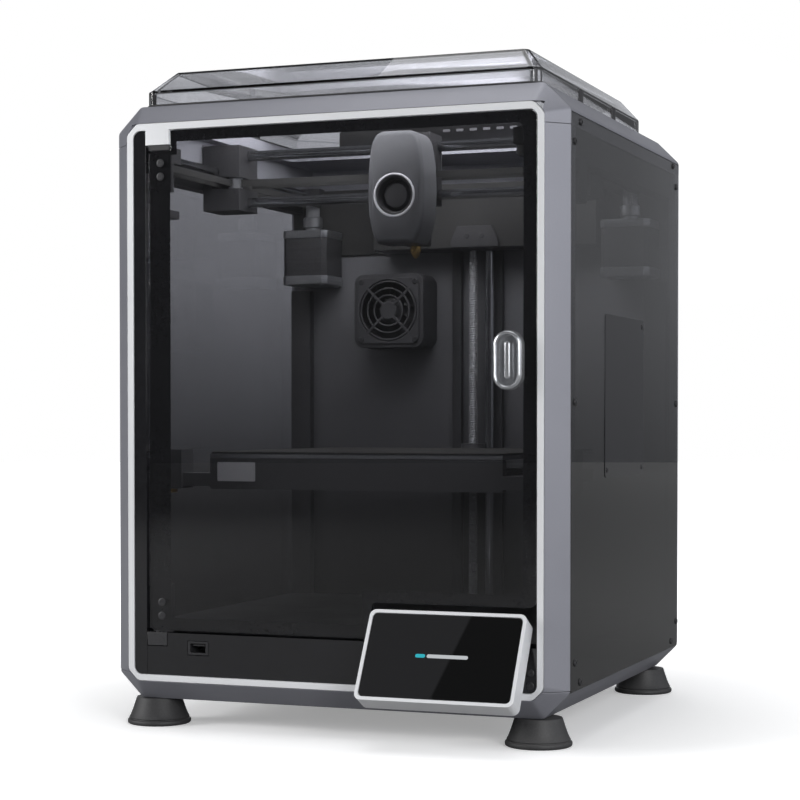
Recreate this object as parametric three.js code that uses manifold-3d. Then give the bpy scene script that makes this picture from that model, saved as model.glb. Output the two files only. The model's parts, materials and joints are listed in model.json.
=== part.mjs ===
import * as THREE from 'three';
import { ConvexGeometry } from 'three/addons/geometries/ConvexGeometry.js';
import { mergeVertices } from 'three/addons/utils/BufferGeometryUtils.js';
import Module from 'manifold-3d';

// Enclosed belt-driven desktop printer. Millimetres, +Z up, +X to the right of a person
// facing the door. Depths are given from the front ring's face, y = 0, and run back; the
// outer group then shifts everything so that the origin is the bottom centre of the object.

const wasm = await Module();
wasm.setup();

// Driving dimensions
const gap = 0.3;
const bodyWidth = 355;
const bodyDepth = 354;
const bodyTop = 466;
const bodyBottom = 20.5;
const edgeBevel = 14.5;
const cornerCut = 19;
const cornerRound = 5;
const ringCut = 8;
const ringRound = 6;
const ringInnerHalf = 157.9;
const ringInnerTop = 446;
const ringInnerBottom = 40;
const ringInnerRound = 6;
const ringDepth = 7.5;
const seamTop = 436;
const seamBottom = 41;
const panelThickness = 2.5;
const panelFront = 16.5;
const panelBack = 337.5;
const panelTop = 445.4;
const panelBottom = 39.5;
const deckTop = 74;
const footBaseRadius = 24;
const footTopRadius = 17.5;
const footX = 151;
const footInset = 27;
const lidHalfWidth = 155;
const lidFront = 15;
const lidBack = 325;
const lidWallTop = 477.5;
const lidTop = 494;
const screenWidth = 117;
const screenLength = 69;
const screenThickness = 16;
const screenLean = 29.5;
const screenReach = 40;
const doorLeft = -144.8;
const doorRight = 157.3;
const doorBottom = 73.7;
const doorTop = 445.4;
const glassFront = 0.3;
const glassBack = 3.8;
const hingeX = -140;
const hingeY = 5;
const gantryY = 141;
const gantryFront = 122;
const toolX = 17;
const rodRadius = 4;
const upperRodZ = 443;
const lowerRodZ = 404;
const sideRodX = 150;
const sideRodZ = 429;
const driveX = 143;
const driveY = 303;
const idlerY = 24;
const pulleyRadius = 6.4;
const bedHalf = 117.5;
const bedFront = 48;
const bedTop = 206.4;
const screwX = 160;
const screwY = 55;
const rearScrewX = 4;
const rearScrewY = 312;
const screwRadius = 4;
const fanX = -66;
const fanZ = 325;
const fanSize = 64;
const fanFront = 290;

const halfWidth = bodyWidth / 2;
const ringHalf = halfWidth - edgeBevel;
const ringTop = bodyTop - edgeBevel;
const ringBottom = bodyBottom + edgeBevel;

// --- solids -------------------------------------------------------------------------

function solidOf(geometry) {
  const bare = geometry.index ? geometry.toNonIndexed() : geometry.clone();
  bare.deleteAttribute('normal');
  bare.deleteAttribute('uv');
  const merged = mergeVertices(bare, 1e-4);
  const mesh = new wasm.Mesh({
    numProp: 3,
    vertProperties: new Float32Array(merged.attributes.position.array),
    triVerts: new Uint32Array(merged.index.array),
  });
  return new wasm.Manifold(mesh);
}

function geometryOf(solid) {
  const mesh = solid.getMesh();
  const geometry = new THREE.BufferGeometry();
  geometry.setAttribute('position', new THREE.BufferAttribute(new Float32Array(mesh.vertProperties), 3));
  geometry.setIndex(new THREE.BufferAttribute(new Uint32Array(mesh.triVerts), 1));
  geometry.computeVertexNormals();
  return geometry;
}

// A block between two corners.
function block(x0, x1, y0, y1, z0, z1) {
  const geometry = new THREE.BoxGeometry(x1 - x0, y1 - y0, z1 - z0);
  geometry.translate((x0 + x1) / 2, (y0 + y1) / 2, (z0 + z1) / 2);
  return solidOf(geometry);
}

// A round bar between two ends along one axis.
function bar(axis, radius, centre, from, to, sides = 20) {
  const geometry = new THREE.CylinderGeometry(radius, radius, to - from, sides);
  if (axis === 'z') geometry.rotateX(Math.PI / 2);
  if (axis === 'x') geometry.rotateZ(Math.PI / 2);
  const middle = (from + to) / 2;
  const places = { x: [middle, ...centre], y: [centre[0], middle, centre[1]], z: [...centre, middle] };
  geometry.translate(...places[axis]);
  return solidOf(geometry);
}

// An outline in x and z carried back along y.
function frontPlate(shape, y0, y1, curveSegments = 6) {
  const geometry = new THREE.ExtrudeGeometry(shape, { depth: y1 - y0, bevelEnabled: false, curveSegments });
  geometry.rotateX(Math.PI / 2);
  geometry.translate(0, y1, 0);
  return solidOf(geometry);
}

// An outline in x and y carried up along z.
function floorPlate(shape, z0, z1, curveSegments = 6) {
  const geometry = new THREE.ExtrudeGeometry(shape, { depth: z1 - z0, bevelEnabled: false, curveSegments });
  geometry.translate(0, 0, z0);
  return solidOf(geometry);
}

function roundedRect(x0, x1, y0, y1, radius) {
  const shape = new THREE.Shape();
  shape.moveTo(x0 + radius, y0);
  shape.lineTo(x1 - radius, y0);
  shape.absarc(x1 - radius, y0 + radius, radius, -Math.PI / 2, 0);
  shape.lineTo(x1, y1 - radius);
  shape.absarc(x1 - radius, y1 - radius, radius, 0, Math.PI / 2);
  shape.lineTo(x0 + radius, y1);
  shape.absarc(x0 + radius, y1 - radius, radius, Math.PI / 2, Math.PI);
  shape.lineTo(x0, y0 + radius);
  shape.absarc(x0 + radius, y0 + radius, radius, Math.PI, 1.5 * Math.PI);
  return shape;
}

function polygon(points) {
  return new THREE.Shape(points.map(([x, y]) => new THREE.Vector2(x, y)));
}

// A rectangle whose corners are cut at 45 degrees and whose eight turns are then rounded.
function bevelledRect(half, low, high, cut, round, steps = 3) {
  const corners = [
    [half, low + cut], [half, high - cut], [half - cut, high], [-half + cut, high],
    [-half, high - cut], [-half, low + cut], [-half + cut, low], [half - cut, low],
  ];
  const reach = round * Math.tan(Math.PI / 8);
  return corners.flatMap((corner, i) => {
    const here = new THREE.Vector2(...corner);
    const before = new THREE.Vector2(...corners[(i + 7) % 8]).sub(here).normalize();
    const after = new THREE.Vector2(...corners[(i + 1) % 8]).sub(here).normalize();
    const start = here.clone().addScaledVector(before, reach);
    const end = here.clone().addScaledVector(after, reach);
    const curve = new THREE.QuadraticBezierCurve(start, here, end);
    return curve.getPoints(steps);
  });
}

function hull(points) {
  return solidOf(new ConvexGeometry(points));
}

// --- outer body -----------------------------------------------------------------------

const ringOutline = (shrink = 0) => new THREE.Shape(bevelledRect(
  ringHalf - shrink, ringBottom + shrink, ringTop - shrink, ringCut, ringRound));

// The whole casing as one block: full width in the middle, bevelled to the front and the back.
function casingBlock() {
  const wide = bevelledRect(halfWidth, bodyBottom, bodyTop, cornerCut, cornerRound);
  const narrow = bevelledRect(ringHalf, ringBottom, ringTop, ringCut, ringRound);
  const points = [];
  for (const y of [edgeBevel, bodyDepth - edgeBevel]) {
    for (const p of wide) points.push(new THREE.Vector3(p.x, y, p.y));
  }
  for (const y of [0, bodyDepth]) {
    for (const p of narrow) points.push(new THREE.Vector3(p.x, y, p.y));
  }
  return hull(points);
}

const far = 600;
const casing = casingBlock();
const ringPocket = frontPlate(ringOutline(0), -1, ringDepth + gap);
const rearPocket = frontPlate(ringOutline(1), bodyDepth - panelThickness - 2 * gap, bodyDepth + 1);
const sidePocket = (side) => block(
  ...(side < 0 ? [-far, -halfWidth + panelThickness + gap] : [halfWidth - panelThickness - gap, far]),
  panelFront - gap, panelBack + gap, panelBottom - gap, panelTop + gap);

function cutAll(solid, ...tools) {
  return tools.reduce((rest, tool) => rest.subtract(tool), solid);
}

function joinAll(first, ...rest) {
  return rest.reduce((sum, solid) => sum.add(solid), first);
}

function topFrame() {
  const beamInner = 161.5;
  const skinBottom = 455;
  const raw = casing.intersect(block(-far, far, -1, far, seamTop + gap, far));
  return cutAll(raw, ringPocket, rearPocket, sidePocket(-1), sidePocket(1),
    block(-beamInner, beamInner, 8, 345, 0, skinBottom),
    block(-beamInner, beamInner, -1, 8.1, 0, ringTop),
    floorPlate(roundedRect(-151, 151, 22, 272, 8), 400, 500));
}

function bottomFrame() {
  const raw = casing.intersect(block(-far, far, -1, far, 0, seamBottom));
  const tray = floorPlate(roundedRect(-157, 157, 12, 342, 6), 24, 60);
  return cutAll(raw, ringPocket, rearPocket, sidePocket(-1), sidePocket(1), tray);
}

function post(side, rear) {
  const inner = ringInnerHalf + 0.1;
  const x = side < 0 ? [-far, -inner] : [inner, far];
  const y = rear ? [328.3, far] : [-1, 30];
  const raw = casing.intersect(block(...x, ...y, seamBottom + gap, seamTop));
  return cutAll(raw, ringPocket, rearPocket, sidePocket(side));
}

// Silver ring round the door, with the door's upper hinge block as part of the same casting.
function frontRing() {
  const outer = frontPlate(ringOutline(gap), 0, ringDepth);
  const inner = frontPlate(roundedRect(
    -ringInnerHalf, ringInnerHalf, ringInnerBottom, ringInnerTop, ringInnerRound), -1, ringDepth + 1);
  const hingeBlock = block(-147.3, -128, 0, ringDepth, 435, ringInnerTop + 2);
  const pinHole = bar('z', 2.1, [hingeX, hingeY], 430, 442.6);
  return outer.subtract(inner).add(hingeBlock).subtract(pinHole);
}

// Fixed glossy strip on the hinge side and the dark panel under the door, as one L-shaped trim.
function lowerFrontPanel() {
  const left = -ringInnerHalf + gap;
  const right = ringInnerHalf - gap;
  const panel = block(left, right, 1.5, 4.5, ringInnerBottom + gap, 71.7);
  const strip = block(left, -147.6, 1, 6, ringInnerBottom + gap, ringInnerTop - gap);
  const usbHole = block(-114, -96.7, 0, 10, 55.6, 66.4);
  const hingeNotch = block(-147.3, -130.7, 0, 7, 61.6, 80);
  const opening = frontPlate(roundedRect(
    left, right, ringInnerBottom + gap, ringInnerTop - gap, ringInnerRound - gap), 0, 10);
  return cutAll(panel.add(strip).intersect(opening), usbHole, hingeNotch);
}

function floorDeck() {
  const outline = polygon([
    [-157.3, 10.6], [157.3, 10.6], [157.3, 31], [174, 31],
    [174, 327.6], [-174, 327.6], [-174, 31], [-157.3, 31],
  ]);
  const plate = floorPlate(outline, deckTop - 2.5, deckTop);
  return cutAll(plate,
    bar('z', 6, [-screwX, screwY], 60, 80), bar('z', 6, [screwX, screwY], 60, 80),
    bar('z', 6, [rearScrewX, rearScrewY], 60, 80));
}

function sidePanel(side) {
  const outer = side * halfWidth;
  const inner = side * (halfWidth - panelThickness);
  return block(Math.min(outer, inner), Math.max(outer, inner), panelFront, panelBack, panelBottom, panelTop);
}

function rearPanel() {
  const plate = frontPlate(ringOutline(1 + gap), bodyDepth - panelThickness - gap, bodyDepth - gap);
  const fanHole = bar('y', 27, [fanX, fanZ], 340, 360, 32);
  return cutAll(plate, fanHole,
    block(95.6, 144.4, 340, 360, 46.6, 75.4), block(69.6, 83.4, 340, 360, 49.9, 72.1),
    bar('y', 5, [110, 410], 340, 360, 16));
}

// Inner rear wall of the chamber with the box section that carries the gantry's rear end.
function rearWall() {
  const wall = block(-171, 171, 325, 328, deckTop + gap, 435);
  const box = block(-80, 118, fanFront, 326, 377, 432);
  const fanHole = bar('y', 29, [fanX, fanZ], 320, 330, 32);
  return wall.add(box).subtract(fanHole);
}

// Channel along one side: end lugs for the sliding rod, an idler post and the lead screw's top bearing.
function sideRail(side) {
  const rail = block(-173, -161, 30.5, 324.5, 415, 435.8);
  const frontLug = block(-173, -136, 30.5, 37, 424.2, 435.8);
  const idlerArm = block(-157, -136, 14, 32, 424.2, 435.8);
  const rearLug = block(-173, -141, 312, 324.5, 424.8, 435.8);
  const idler = bar('z', pulleyRadius, [-driveX, idlerY], 416.5, 425);
  const web = block(-173, -166, 45, 65, 386, 416);
  const bearing = block(-173, -152, 45, 65, 386, 392);
  const rodBore = bar('y', rodRadius + gap, [-sideRodX, sideRodZ], 0, 330);
  const screwBore = bar('z', screwRadius + gap, [-screwX, screwY], 380, 400);
  const solid = cutAll(joinAll(rail, frontLug, idlerArm, rearLug, idler, web, bearing), rodBore, screwBore);
  return side < 0 ? solid : solid.mirror([1, 0, 0]);
}

function sideRod(side) {
  return bar('y', rodRadius, [side * sideRodX, sideRodZ], 15, 323.5, 20);
}

function foot() {
  const profile = [[0, 0], [footBaseRadius - 1, 0], [footBaseRadius, 1.5], [footBaseRadius, 3.5],
    [footTopRadius, 19], [footTopRadius - 1, bodyBottom - gap], [0, bodyBottom - gap]];
  const geometry = new THREE.LatheGeometry(profile.map(([r, z]) => new THREE.Vector2(r, z)), 28);
  geometry.rotateX(Math.PI / 2);
  return solidOf(geometry);
}

// --- chamber fan ------------------------------------------------------------------------

function fanHousing() {
  const half = fanSize / 2;
  const box = frontPlate(roundedRect(fanX - half, fanX + half, fanZ - half, fanZ + half, 9), fanFront, 324.7);
  return box.subtract(bar('y', 28.5, [fanX, fanZ], 280, 330, 40));
}

// A hub with flat blades set round it.
function impeller(hubRadius, tipRadius, y0, y1, blades, centre) {
  let solid = bar('y', hubRadius, centre, y0, y1, 20);
  for (let i = 0; i < blades; i += 1) {
    const blade = new THREE.BoxGeometry(tipRadius - hubRadius + 2, 1.6, (y1 - y0) * 1.1);
    blade.rotateX(0.7);
    blade.translate((tipRadius + hubRadius) / 2 - 1, 0, 0);
    blade.rotateZ((i / blades) * 2 * Math.PI);
    blade.rotateX(Math.PI / 2);
    blade.translate(centre[0], (y0 + y1) / 2, centre[1]);
    solid = solid.add(solidOf(blade));
  }
  return solid;
}

// --- drive --------------------------------------------------------------------------------

// Square motor with cut corners and its short shaft left to the pulley above it.
function motor(x, y, z0, z1) {
  const half = 21;
  const cut = 4;
  const outline = polygon([
    [x - half + cut, y - half], [x + half - cut, y - half], [x + half, y - half + cut],
    [x + half, y + half - cut], [x + half - cut, y + half], [x - half + cut, y + half],
    [x - half, y + half - cut], [x - half, y - half + cut],
  ]);
  return floorPlate(outline, z0, z1);
}

function drivePulley(side) {
  const centre = [side * driveX, driveY];
  return joinAll(bar('z', pulleyRadius, centre, 397, 424, 24), bar('z', 8.4, centre, 400, 409, 24));
}

// Toothed belt round the drive pulley and the front idler, as a plain closed band.
function sideBelt(side) {
  const outer = capsule(side * driveX, idlerY, driveY, 7.9);
  outer.holes.push(capsule(side * driveX, idlerY, driveY, 6.9));
  return floorPlate(outer, 417.5, 422.5, 8);
}

function capsule(x, y0, y1, radius) {
  const shape = new THREE.Shape();
  shape.moveTo(x + radius, y0);
  shape.lineTo(x + radius, y1);
  shape.absarc(x, y1, radius, 0, Math.PI);
  shape.lineTo(x - radius, y0);
  shape.absarc(x, y0, radius, Math.PI, 2 * Math.PI);
  return shape;
}

function crossRod(z) {
  return bar('x', rodRadius, [gantryY, z], -150, 150, 20);
}

// C-shaped slider on a side rod; the belt runs through its slot and both cross rods end in it.
function sideCarriage(side) {
  const solid = cutAll(block(-160, -128, gantryFront, 156, 398, 450),
    block(-152.6, -120, 100, 200, 415.5, 424.6),
    bar('y', rodRadius + gap, [-sideRodX, sideRodZ], 100, 200),
    bar('x', rodRadius + gap, [gantryY, upperRodZ], -150.4, -100),
    bar('x', rodRadius + gap, [gantryY, lowerRodZ + 1.5], -150.4, -100));
  return side < 0 ? solid : solid.mirror([1, 0, 0]);
}

// --- tool head ------------------------------------------------------------------------------

function toolCarriage() {
  const slide = block(toolX - 17, toolX + 17, gantryFront - 0.2, 149.5, 397.2, 452);
  return cutAll(slide,
    bar('x', rodRadius + gap, [gantryY, upperRodZ], -100, 100),
    bar('x', rodRadius + gap, [gantryY, lowerRodZ + 1.5], -100, 100));
}

// Front cover: a tall shell, widest at the fan, drawn in at the top and at the nozzle end.
function toolCover() {
  const outline = new THREE.Shape();
  outline.moveTo(toolX - 15, 365);
  outline.quadraticCurveTo(toolX - 20, 372, toolX - 22, 386);
  outline.quadraticCurveTo(toolX - 24, 415, toolX - 21, 433);
  outline.quadraticCurveTo(toolX - 19.5, 449, toolX - 11, 450);
  outline.lineTo(toolX + 11, 450);
  outline.quadraticCurveTo(toolX + 19.5, 449, toolX + 21, 433);
  outline.quadraticCurveTo(toolX + 24, 415, toolX + 22, 386);
  outline.quadraticCurveTo(toolX + 20, 372, toolX + 15, 365);
  const solid = frontPlate(outline, 90, gantryFront - 0.5, 5);
  return cutAll(solid,
    bar('y', 16, [toolX, 401], 80, 104, 32),
    block(toolX - 12, toolX + 12, 110, 130, 360, 396));
}

function hotend() {
  const heater = block(toolX - 10, toolX + 10, 128, 146, 366, 378);
  const throat = bar('z', 3, [toolX, 136.5], 377, 382, 14);
  const sink = block(toolX - 9, toolX + 9, 127.5, 146.5, 381, 396.9);
  return joinAll(heater, throat, sink);
}

function nozzle() {
  const profile = [[0, 0], [1, 0], [3.2, 3], [3.2, 5], [4.2, 5], [4.2, 9.4], [0, 9.4]];
  const geometry = new THREE.LatheGeometry(profile.map(([r, z]) => new THREE.Vector2(r, z)), 16);
  geometry.rotateX(Math.PI / 2);
  geometry.translate(toolX, 136.5, 356.3);
  return solidOf(geometry);
}

// --- bed ----------------------------------------------------------------------------------------

// Carrier under the heated bed: front apron, side arms and three blocks that run on the lead screws.
function bedCarrier() {
  const apron = block(-bedHalf, bedHalf, bedFront, bedFront + 8, 178, 201.4);
  const arms = [-1, 1].map((s) => block(
    Math.min(s * 96, s * bedHalf), Math.max(s * 96, s * bedHalf), bedFront + 4, 283, 180, 190));
  const cross = block(-bedHalf, bedHalf, 262, 283, 180, 190);
  const rearArm = block(rearScrewX - 12, rearScrewX + 12, 280, 322, 180, 190);
  const rearNut = bar('z', 10.5, [rearScrewX, rearScrewY], 176, 210, 24);
  const sideArms = [-1, 1].map((s) => block(
    Math.min(s * 110, s * 170), Math.max(s * 110, s * 170), bedFront, 64, 180, 190));
  const nuts = [-1, 1].map((s) => block(
    Math.min(s * 141, s * 170), Math.max(s * 141, s * 170), 46, 66, 178, 208));
  const posts = [-1, 1].flatMap((s) => [70, 270].map((y) => block(
    s * 105 - 4, s * 105 + 4, y - 4, y + 4, 188, 201.4)));
  const whole = joinAll(apron, ...arms, cross, rearArm, rearNut, ...sideArms, ...nuts, ...posts);
  return cutAll(whole,
    bar('z', screwRadius + gap, [-screwX, screwY], 170, 220),
    bar('z', screwRadius + gap, [screwX, screwY], 170, 220),
    bar('z', screwRadius + gap, [rearScrewX, rearScrewY], 170, 220));
}

function leadScrew(x, y, top) {
  return joinAll(bar('z', screwRadius, [x, y], 44, top, 16), bar('z', 8, [x, y], 61, 69, 24));
}

// Belt under the deck round the three screw pulleys.
function liftBelt() {
  const centres = [[-screwX, screwY], [screwX, screwY], [rearScrewX, rearScrewY]];
  const loop = (radius) => {
    const points = centres.flatMap(([cx, cy], i) => {
      const [nx, ny] = centres[(i + 1) % 3];
      const [px, py] = centres[(i + 2) % 3];
      const from = Math.atan2(cy - py, cx - px) - Math.PI / 2;
      let to = Math.atan2(ny - cy, nx - cx) - Math.PI / 2;
      if (to < from) to += 2 * Math.PI;
      const arc = new THREE.EllipseCurve(cx, cy, radius, radius, from, to, false, 0);
      return arc.getPoints(6);
    });
    return new THREE.Shape(points);
  };
  const shape = loop(9.4);
  shape.holes.push(loop(8.4));
  return floorPlate(shape, 62, 68);
}

// Centre of the lift motor's pulley: on the right run of the belt, just inside it.
const liftMotor = (() => {
  const along = 0.52;
  const dx = rearScrewX - screwX;
  const dy = rearScrewY - screwY;
  const length = Math.hypot(dx, dy);
  const out = 1.5;
  return [screwX + dx * along + (dy / length) * out, screwY + dy * along - (dx / length) * out];
})();

// --- electronics ---------------------------------------------------------------------------------

function mainboard() {
  const board = block(-130, 40, 222, 302, 30, 32);
  const chips = [[-110, 240, 20, 9], [-70, 262, 26, 6], [-20, 240, 18, 9], [15, 284, 22, 12]];
  return joinAll(board, ...chips.map(([x, y, size, high]) => block(
    x - size / 2, x + size / 2, y - size / 2, y + size / 2, 31, 32 + high)));
}

function powerInlet() {
  const flange = block(96, 144, bodyDepth - panelThickness - gap, bodyDepth - gap, 47, 75);
  const shell = block(104, 136, 332, 352.5, 49, 73);
  const socket = block(108, 132, 336, 360, 53, 69);
  return flange.add(shell).subtract(socket);
}

function powerRocker() {
  const outline = polygon([
    [352.6, 51.5], [353.6, 51.5], [352.8, 61], [353.6, 70.5], [352.6, 70.5], [343, 66], [343, 56],
  ]);
  const geometry = new THREE.ExtrudeGeometry(outline, { depth: 13, bevelEnabled: false });
  geometry.rotateX(Math.PI / 2);
  geometry.rotateZ(Math.PI / 2);
  geometry.translate(70, 0, 0);
  return solidOf(geometry);
}

function usbSocket() {
  const shell = block(-113.6, -97, 1.2, 16, 56, 66);
  const mouth = block(-111.6, -99, 0, 14, 57.6, 64.4);
  const tongue = block(-110.6, -100, 3, 15, 62.5, 64);
  return shell.subtract(mouth).add(tongue);
}

// --- screen ----------------------------------------------------------------------------------------

const lean = THREE.MathUtils.degToRad(screenLean);
const screenLeft = 36.2;

// Places a solid drawn face-on (x across, y into the screen, z up its face) at the leaning screen.
function leaned(solid) {
  const dropY = -screenReach;
  const dropZ = 36;
  return solid.rotate([-screenLean, 0, 0]).translate([screenLeft, dropY, dropZ]);
}

function screenHousing() {
  const slab = leaned(frontPlate(roundedRect(0, screenWidth, 0, screenLength, 5), 0, screenThickness));
  const pocket = leaned(frontPlate(roundedRect(2.5, screenWidth - 2.5, 2.5, screenLength - 2.5, 3.5), -1, 3));
  const backTop = -screenReach + screenThickness * Math.cos(lean) + 20 * Math.tan(lean);
  const wedge = new THREE.ExtrudeGeometry(polygon([
    [-0.4, 34], [-0.4, 72], [backTop, 58], [-screenReach + 12, 32],
  ]), { depth: 98, bevelEnabled: false });
  wedge.rotateX(Math.PI / 2);
  wedge.rotateZ(Math.PI / 2);
  wedge.translate(46, 0, 0);
  const room = block(-far, far, -0.4, far, 0, 74);
  return slab.add(solidOf(wedge)).subtract(pocket).subtract(room);
}

function screenGlass() {
  return leaned(frontPlate(roundedRect(
    2.8, screenWidth - 2.8, 2.8, screenLength - 2.8, 3.2), 0.3, 2.7));
}

// --- door --------------------------------------------------------------------------------------------

// Glass with its corners rounded, cut away over the screen and under the upper hinge block.
function doorGlass() {
  const step = 34;
  const stepZ = 99.8;
  const notchX = -126.7;
  const notchZ = 430.6;
  const r = 6;
  const shape = new THREE.Shape();
  shape.moveTo(doorLeft + 3, doorBottom);
  shape.lineTo(step - r, doorBottom);
  shape.absarc(step - r, doorBottom + r, r, -Math.PI / 2, 0);
  shape.lineTo(step, stepZ - 3);
  shape.absarc(step + 3, stepZ - 3, 3, Math.PI, Math.PI / 2, true);
  shape.lineTo(doorRight - r, stepZ);
  shape.absarc(doorRight - r, stepZ + r, r, -Math.PI / 2, 0);
  shape.lineTo(doorRight, doorTop - r);
  shape.absarc(doorRight - r, doorTop - r, r, 0, Math.PI / 2);
  shape.lineTo(notchX, doorTop);
  shape.lineTo(notchX, notchZ);
  shape.lineTo(doorLeft + 2, notchZ);
  shape.lineTo(doorLeft, notchZ - 2);
  shape.lineTo(doorLeft, doorBottom + 3);
  return frontPlate(shape, glassFront, glassBack, 4);
}

// Pill-shaped pull with a finger recess and a grip bar down its middle.
function doorHandle() {
  const x0 = 127.7;
  const x1 = 148.7;
  const pill = frontPlate(roundedRect(x0, x1, 251.4, 293, 10.4), -8.5, 0, 8);
  const recess = frontPlate(roundedRect(x0 + 3.2, x1 - 3.2, 254.8, 289.6, 7.2), -9, -1.5, 8);
  const grip = block(x0 + 8.7, x1 - 8.7, -7.5, -1, 259, 285.4);
  return pill.subtract(recess).add(grip);
}

function hingePlateTop() {
  const plate = block(-143.5, -127, 4.1, 8, 400, 431.2);
  const knuckle = block(-144.5, -128, 0.6, 8, 431, 434.7);
  return joinAll(plate, knuckle, bar('z', 1.8, [hingeX, hingeY], 434, 442, 16));
}

function hingePlateBottom() {
  const plate = block(-143.5, -127, 4.1, 8, 72.4, 108);
  return plate.add(bar('z', 1.8, [hingeX, hingeY], 65, 72.6, 16));
}

function hingeBlockBottom() {
  return block(-147, -131, 1, 10, 62, 71.9).subtract(bar('z', 2.1, [hingeX, hingeY], 64.6, 80, 16));
}

// --- lid -----------------------------------------------------------------------------------------------

// Corner points of the lid in plan: small cuts at the front, wide ones at the back.
function lidOutline(inset, frontInset, backInset, frontCut, backCut) {
  const x = lidHalfWidth - inset;
  const y0 = lidFront + frontInset;
  const y1 = lidBack - backInset;
  return [
    [-x + frontCut, y0], [x - frontCut, y0], [x, y0 + frontCut], [x, y1 - backCut],
    [x - backCut, y1], [-x + backCut, y1], [-x, y1 - backCut], [-x, y0 + frontCut],
  ];
}

function lidSolid(shrink, drop) {
  const levels = [
    [bodyTop + gap - (shrink ? 5 : 0), lidOutline(shrink, shrink, shrink, 5, 33)],
    [lidWallTop - drop / 2, lidOutline(shrink, shrink, shrink, 5, 33)],
    [lidTop - drop, lidOutline(15 + shrink / 2, 19 + shrink / 2, 14 + shrink / 2, 3, 22)],
  ];
  return hull(levels.flatMap(([z, outline]) => outline.map(([x, y]) => new THREE.Vector3(x, y, z))));
}

function lidShell() {
  return lidSolid(0, 0).subtract(lidSolid(3, 3));
}

// --- finishes --------------------------------------------------------------------------------------------

function finish(color, roughness, metalness, opacity = 1) {
  return new THREE.MeshStandardMaterial({ color, roughness, metalness, opacity, transparent: opacity < 1 });
}

const coatedFrame = () => finish(0x8f909a, 0.45, 0.3);
const silver = () => finish(0xe2e3e6, 0.35, 0.4);
const blackPlastic = () => finish(0x232327, 0.55, 0);
const glossBlack = () => finish(0x101013, 0.12, 0);
const smoked = () => finish(0x3a3b40, 0.08, 0, 0.55);
const rubber = () => finish(0x2c2c2e, 0.8, 0);
const steel = () => finish(0xb9bcc1, 0.25, 0.9);
const darkSteel = () => finish(0x3d3e42, 0.45, 0.6);
const aluminium = () => finish(0x9a9da3, 0.35, 0.8);
const brass = () => finish(0xb8923c, 0.3, 0.9);
const board = () => finish(0x1f4d33, 0.5, 0);

// --- assembly ----------------------------------------------------------------------------------------------

const printer = new THREE.Group();
const shift = new THREE.Group();
shift.position.y = -(bodyDepth - screenReach) / 2;
printer.add(shift);

function place(name, solid, material) {
  const mesh = new THREE.Mesh(geometryOf(solid), material);
  mesh.name = name;
  shift.add(mesh);
  return mesh;
}

for (const [name, x, y] of [
  ['foot_front_left', -footX, footInset], ['foot_front_right', footX, footInset],
  ['foot_rear_left', -footX, bodyDepth - footInset], ['foot_rear_right', footX, bodyDepth - footInset],
]) {
  place(name, foot(), rubber()).position.set(x, y, 0);
}

place('bottom_frame', bottomFrame(), coatedFrame());
place('top_frame', topFrame(), coatedFrame());
for (const [side, word] of [[-1, 'left'], [1, 'right']]) {
  place(`post_front_${word}`, post(side, false), coatedFrame());
  place(`post_rear_${word}`, post(side, true), coatedFrame());
  place(`side_panel_${word}`, sidePanel(side), smoked());
  place(`side_rail_${word}`, sideRail(side), blackPlastic());
  place(`side_rod_${word}`, sideRod(side), steel());
  place(`drive_motor_${word}`, motor(side * driveX, driveY, 349, 396.5), darkSteel());
  place(`drive_pulley_${word}`, drivePulley(side), aluminium());
  place(`drive_belt_${word}`, sideBelt(side), rubber());
  place(`side_carriage_${word}`, sideCarriage(side), blackPlastic());
  place(`lead_screw_front_${word}`, leadScrew(side * screwX, screwY, 391), steel());
}
place('lead_screw_rear', leadScrew(rearScrewX, rearScrewY, 376.5), steel());
place('front_ring', frontRing(), silver());
place('lower_front_panel', lowerFrontPanel(), glossBlack());
place('floor_deck', floorDeck(), blackPlastic());
place('rear_panel', rearPanel(), blackPlastic());
place('rear_wall', rearWall(), blackPlastic());

place('chamber_fan_housing', fanHousing(), blackPlastic());
place('chamber_fan_impeller', impeller(11, 26.5, 297, 313, 7, [fanX, fanZ]), blackPlastic());

place('cross_rod_upper', crossRod(upperRodZ), steel());
place('cross_rod_lower', crossRod(lowerRodZ + 1.5), steel());

place('tool_carriage', toolCarriage(), blackPlastic());
place('tool_cover', toolCover(), finish(0x6f7076, 0.4, 0.2));
place('hotend', hotend(), aluminium());
place('nozzle', nozzle(), brass());
place('tool_fan', impeller(6.5, 14.4, 94, 102, 7, [toolX, 401]), blackPlastic());

place('bed_carrier', bedCarrier(), darkSteel());
place('heated_bed', block(-bedHalf, bedHalf, bedFront, 283, 201.7, 204.7), aluminium());
place('build_plate', block(-bedHalf, bedHalf, bedFront, 283, 205, bedTop), finish(0x2b2b2d, 0.85, 0.1));

place('lift_motor', motor(...liftMotor, 25, 60), darkSteel());
place('lift_pulley', bar('z', 6.6, liftMotor, 60.4, 69, 24), aluminium());
place('lift_belt', liftBelt(), rubber());
place('power_supply', block(-150, 10, 100, 200, 25, 55), aluminium());
place('mainboard', mainboard(), board());
place('power_inlet', powerInlet(), blackPlastic());
place('power_rocker', powerRocker(), glossBlack());
place('usb_socket', usbSocket(), silver());

place('screen_housing', screenHousing(), silver());
place('screen_glass', screenGlass(), glossBlack());

place('door_glass', doorGlass(), smoked());
place('door_handle', doorHandle(), silver());
place('door_hinge_top', hingePlateTop(), blackPlastic());
place('door_hinge_bottom', hingePlateBottom(), blackPlastic());
place('hinge_block_bottom', hingeBlockBottom(), blackPlastic());
place('lid', lidShell(), smoked());

export default printer;
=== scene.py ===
import json
import math

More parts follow.
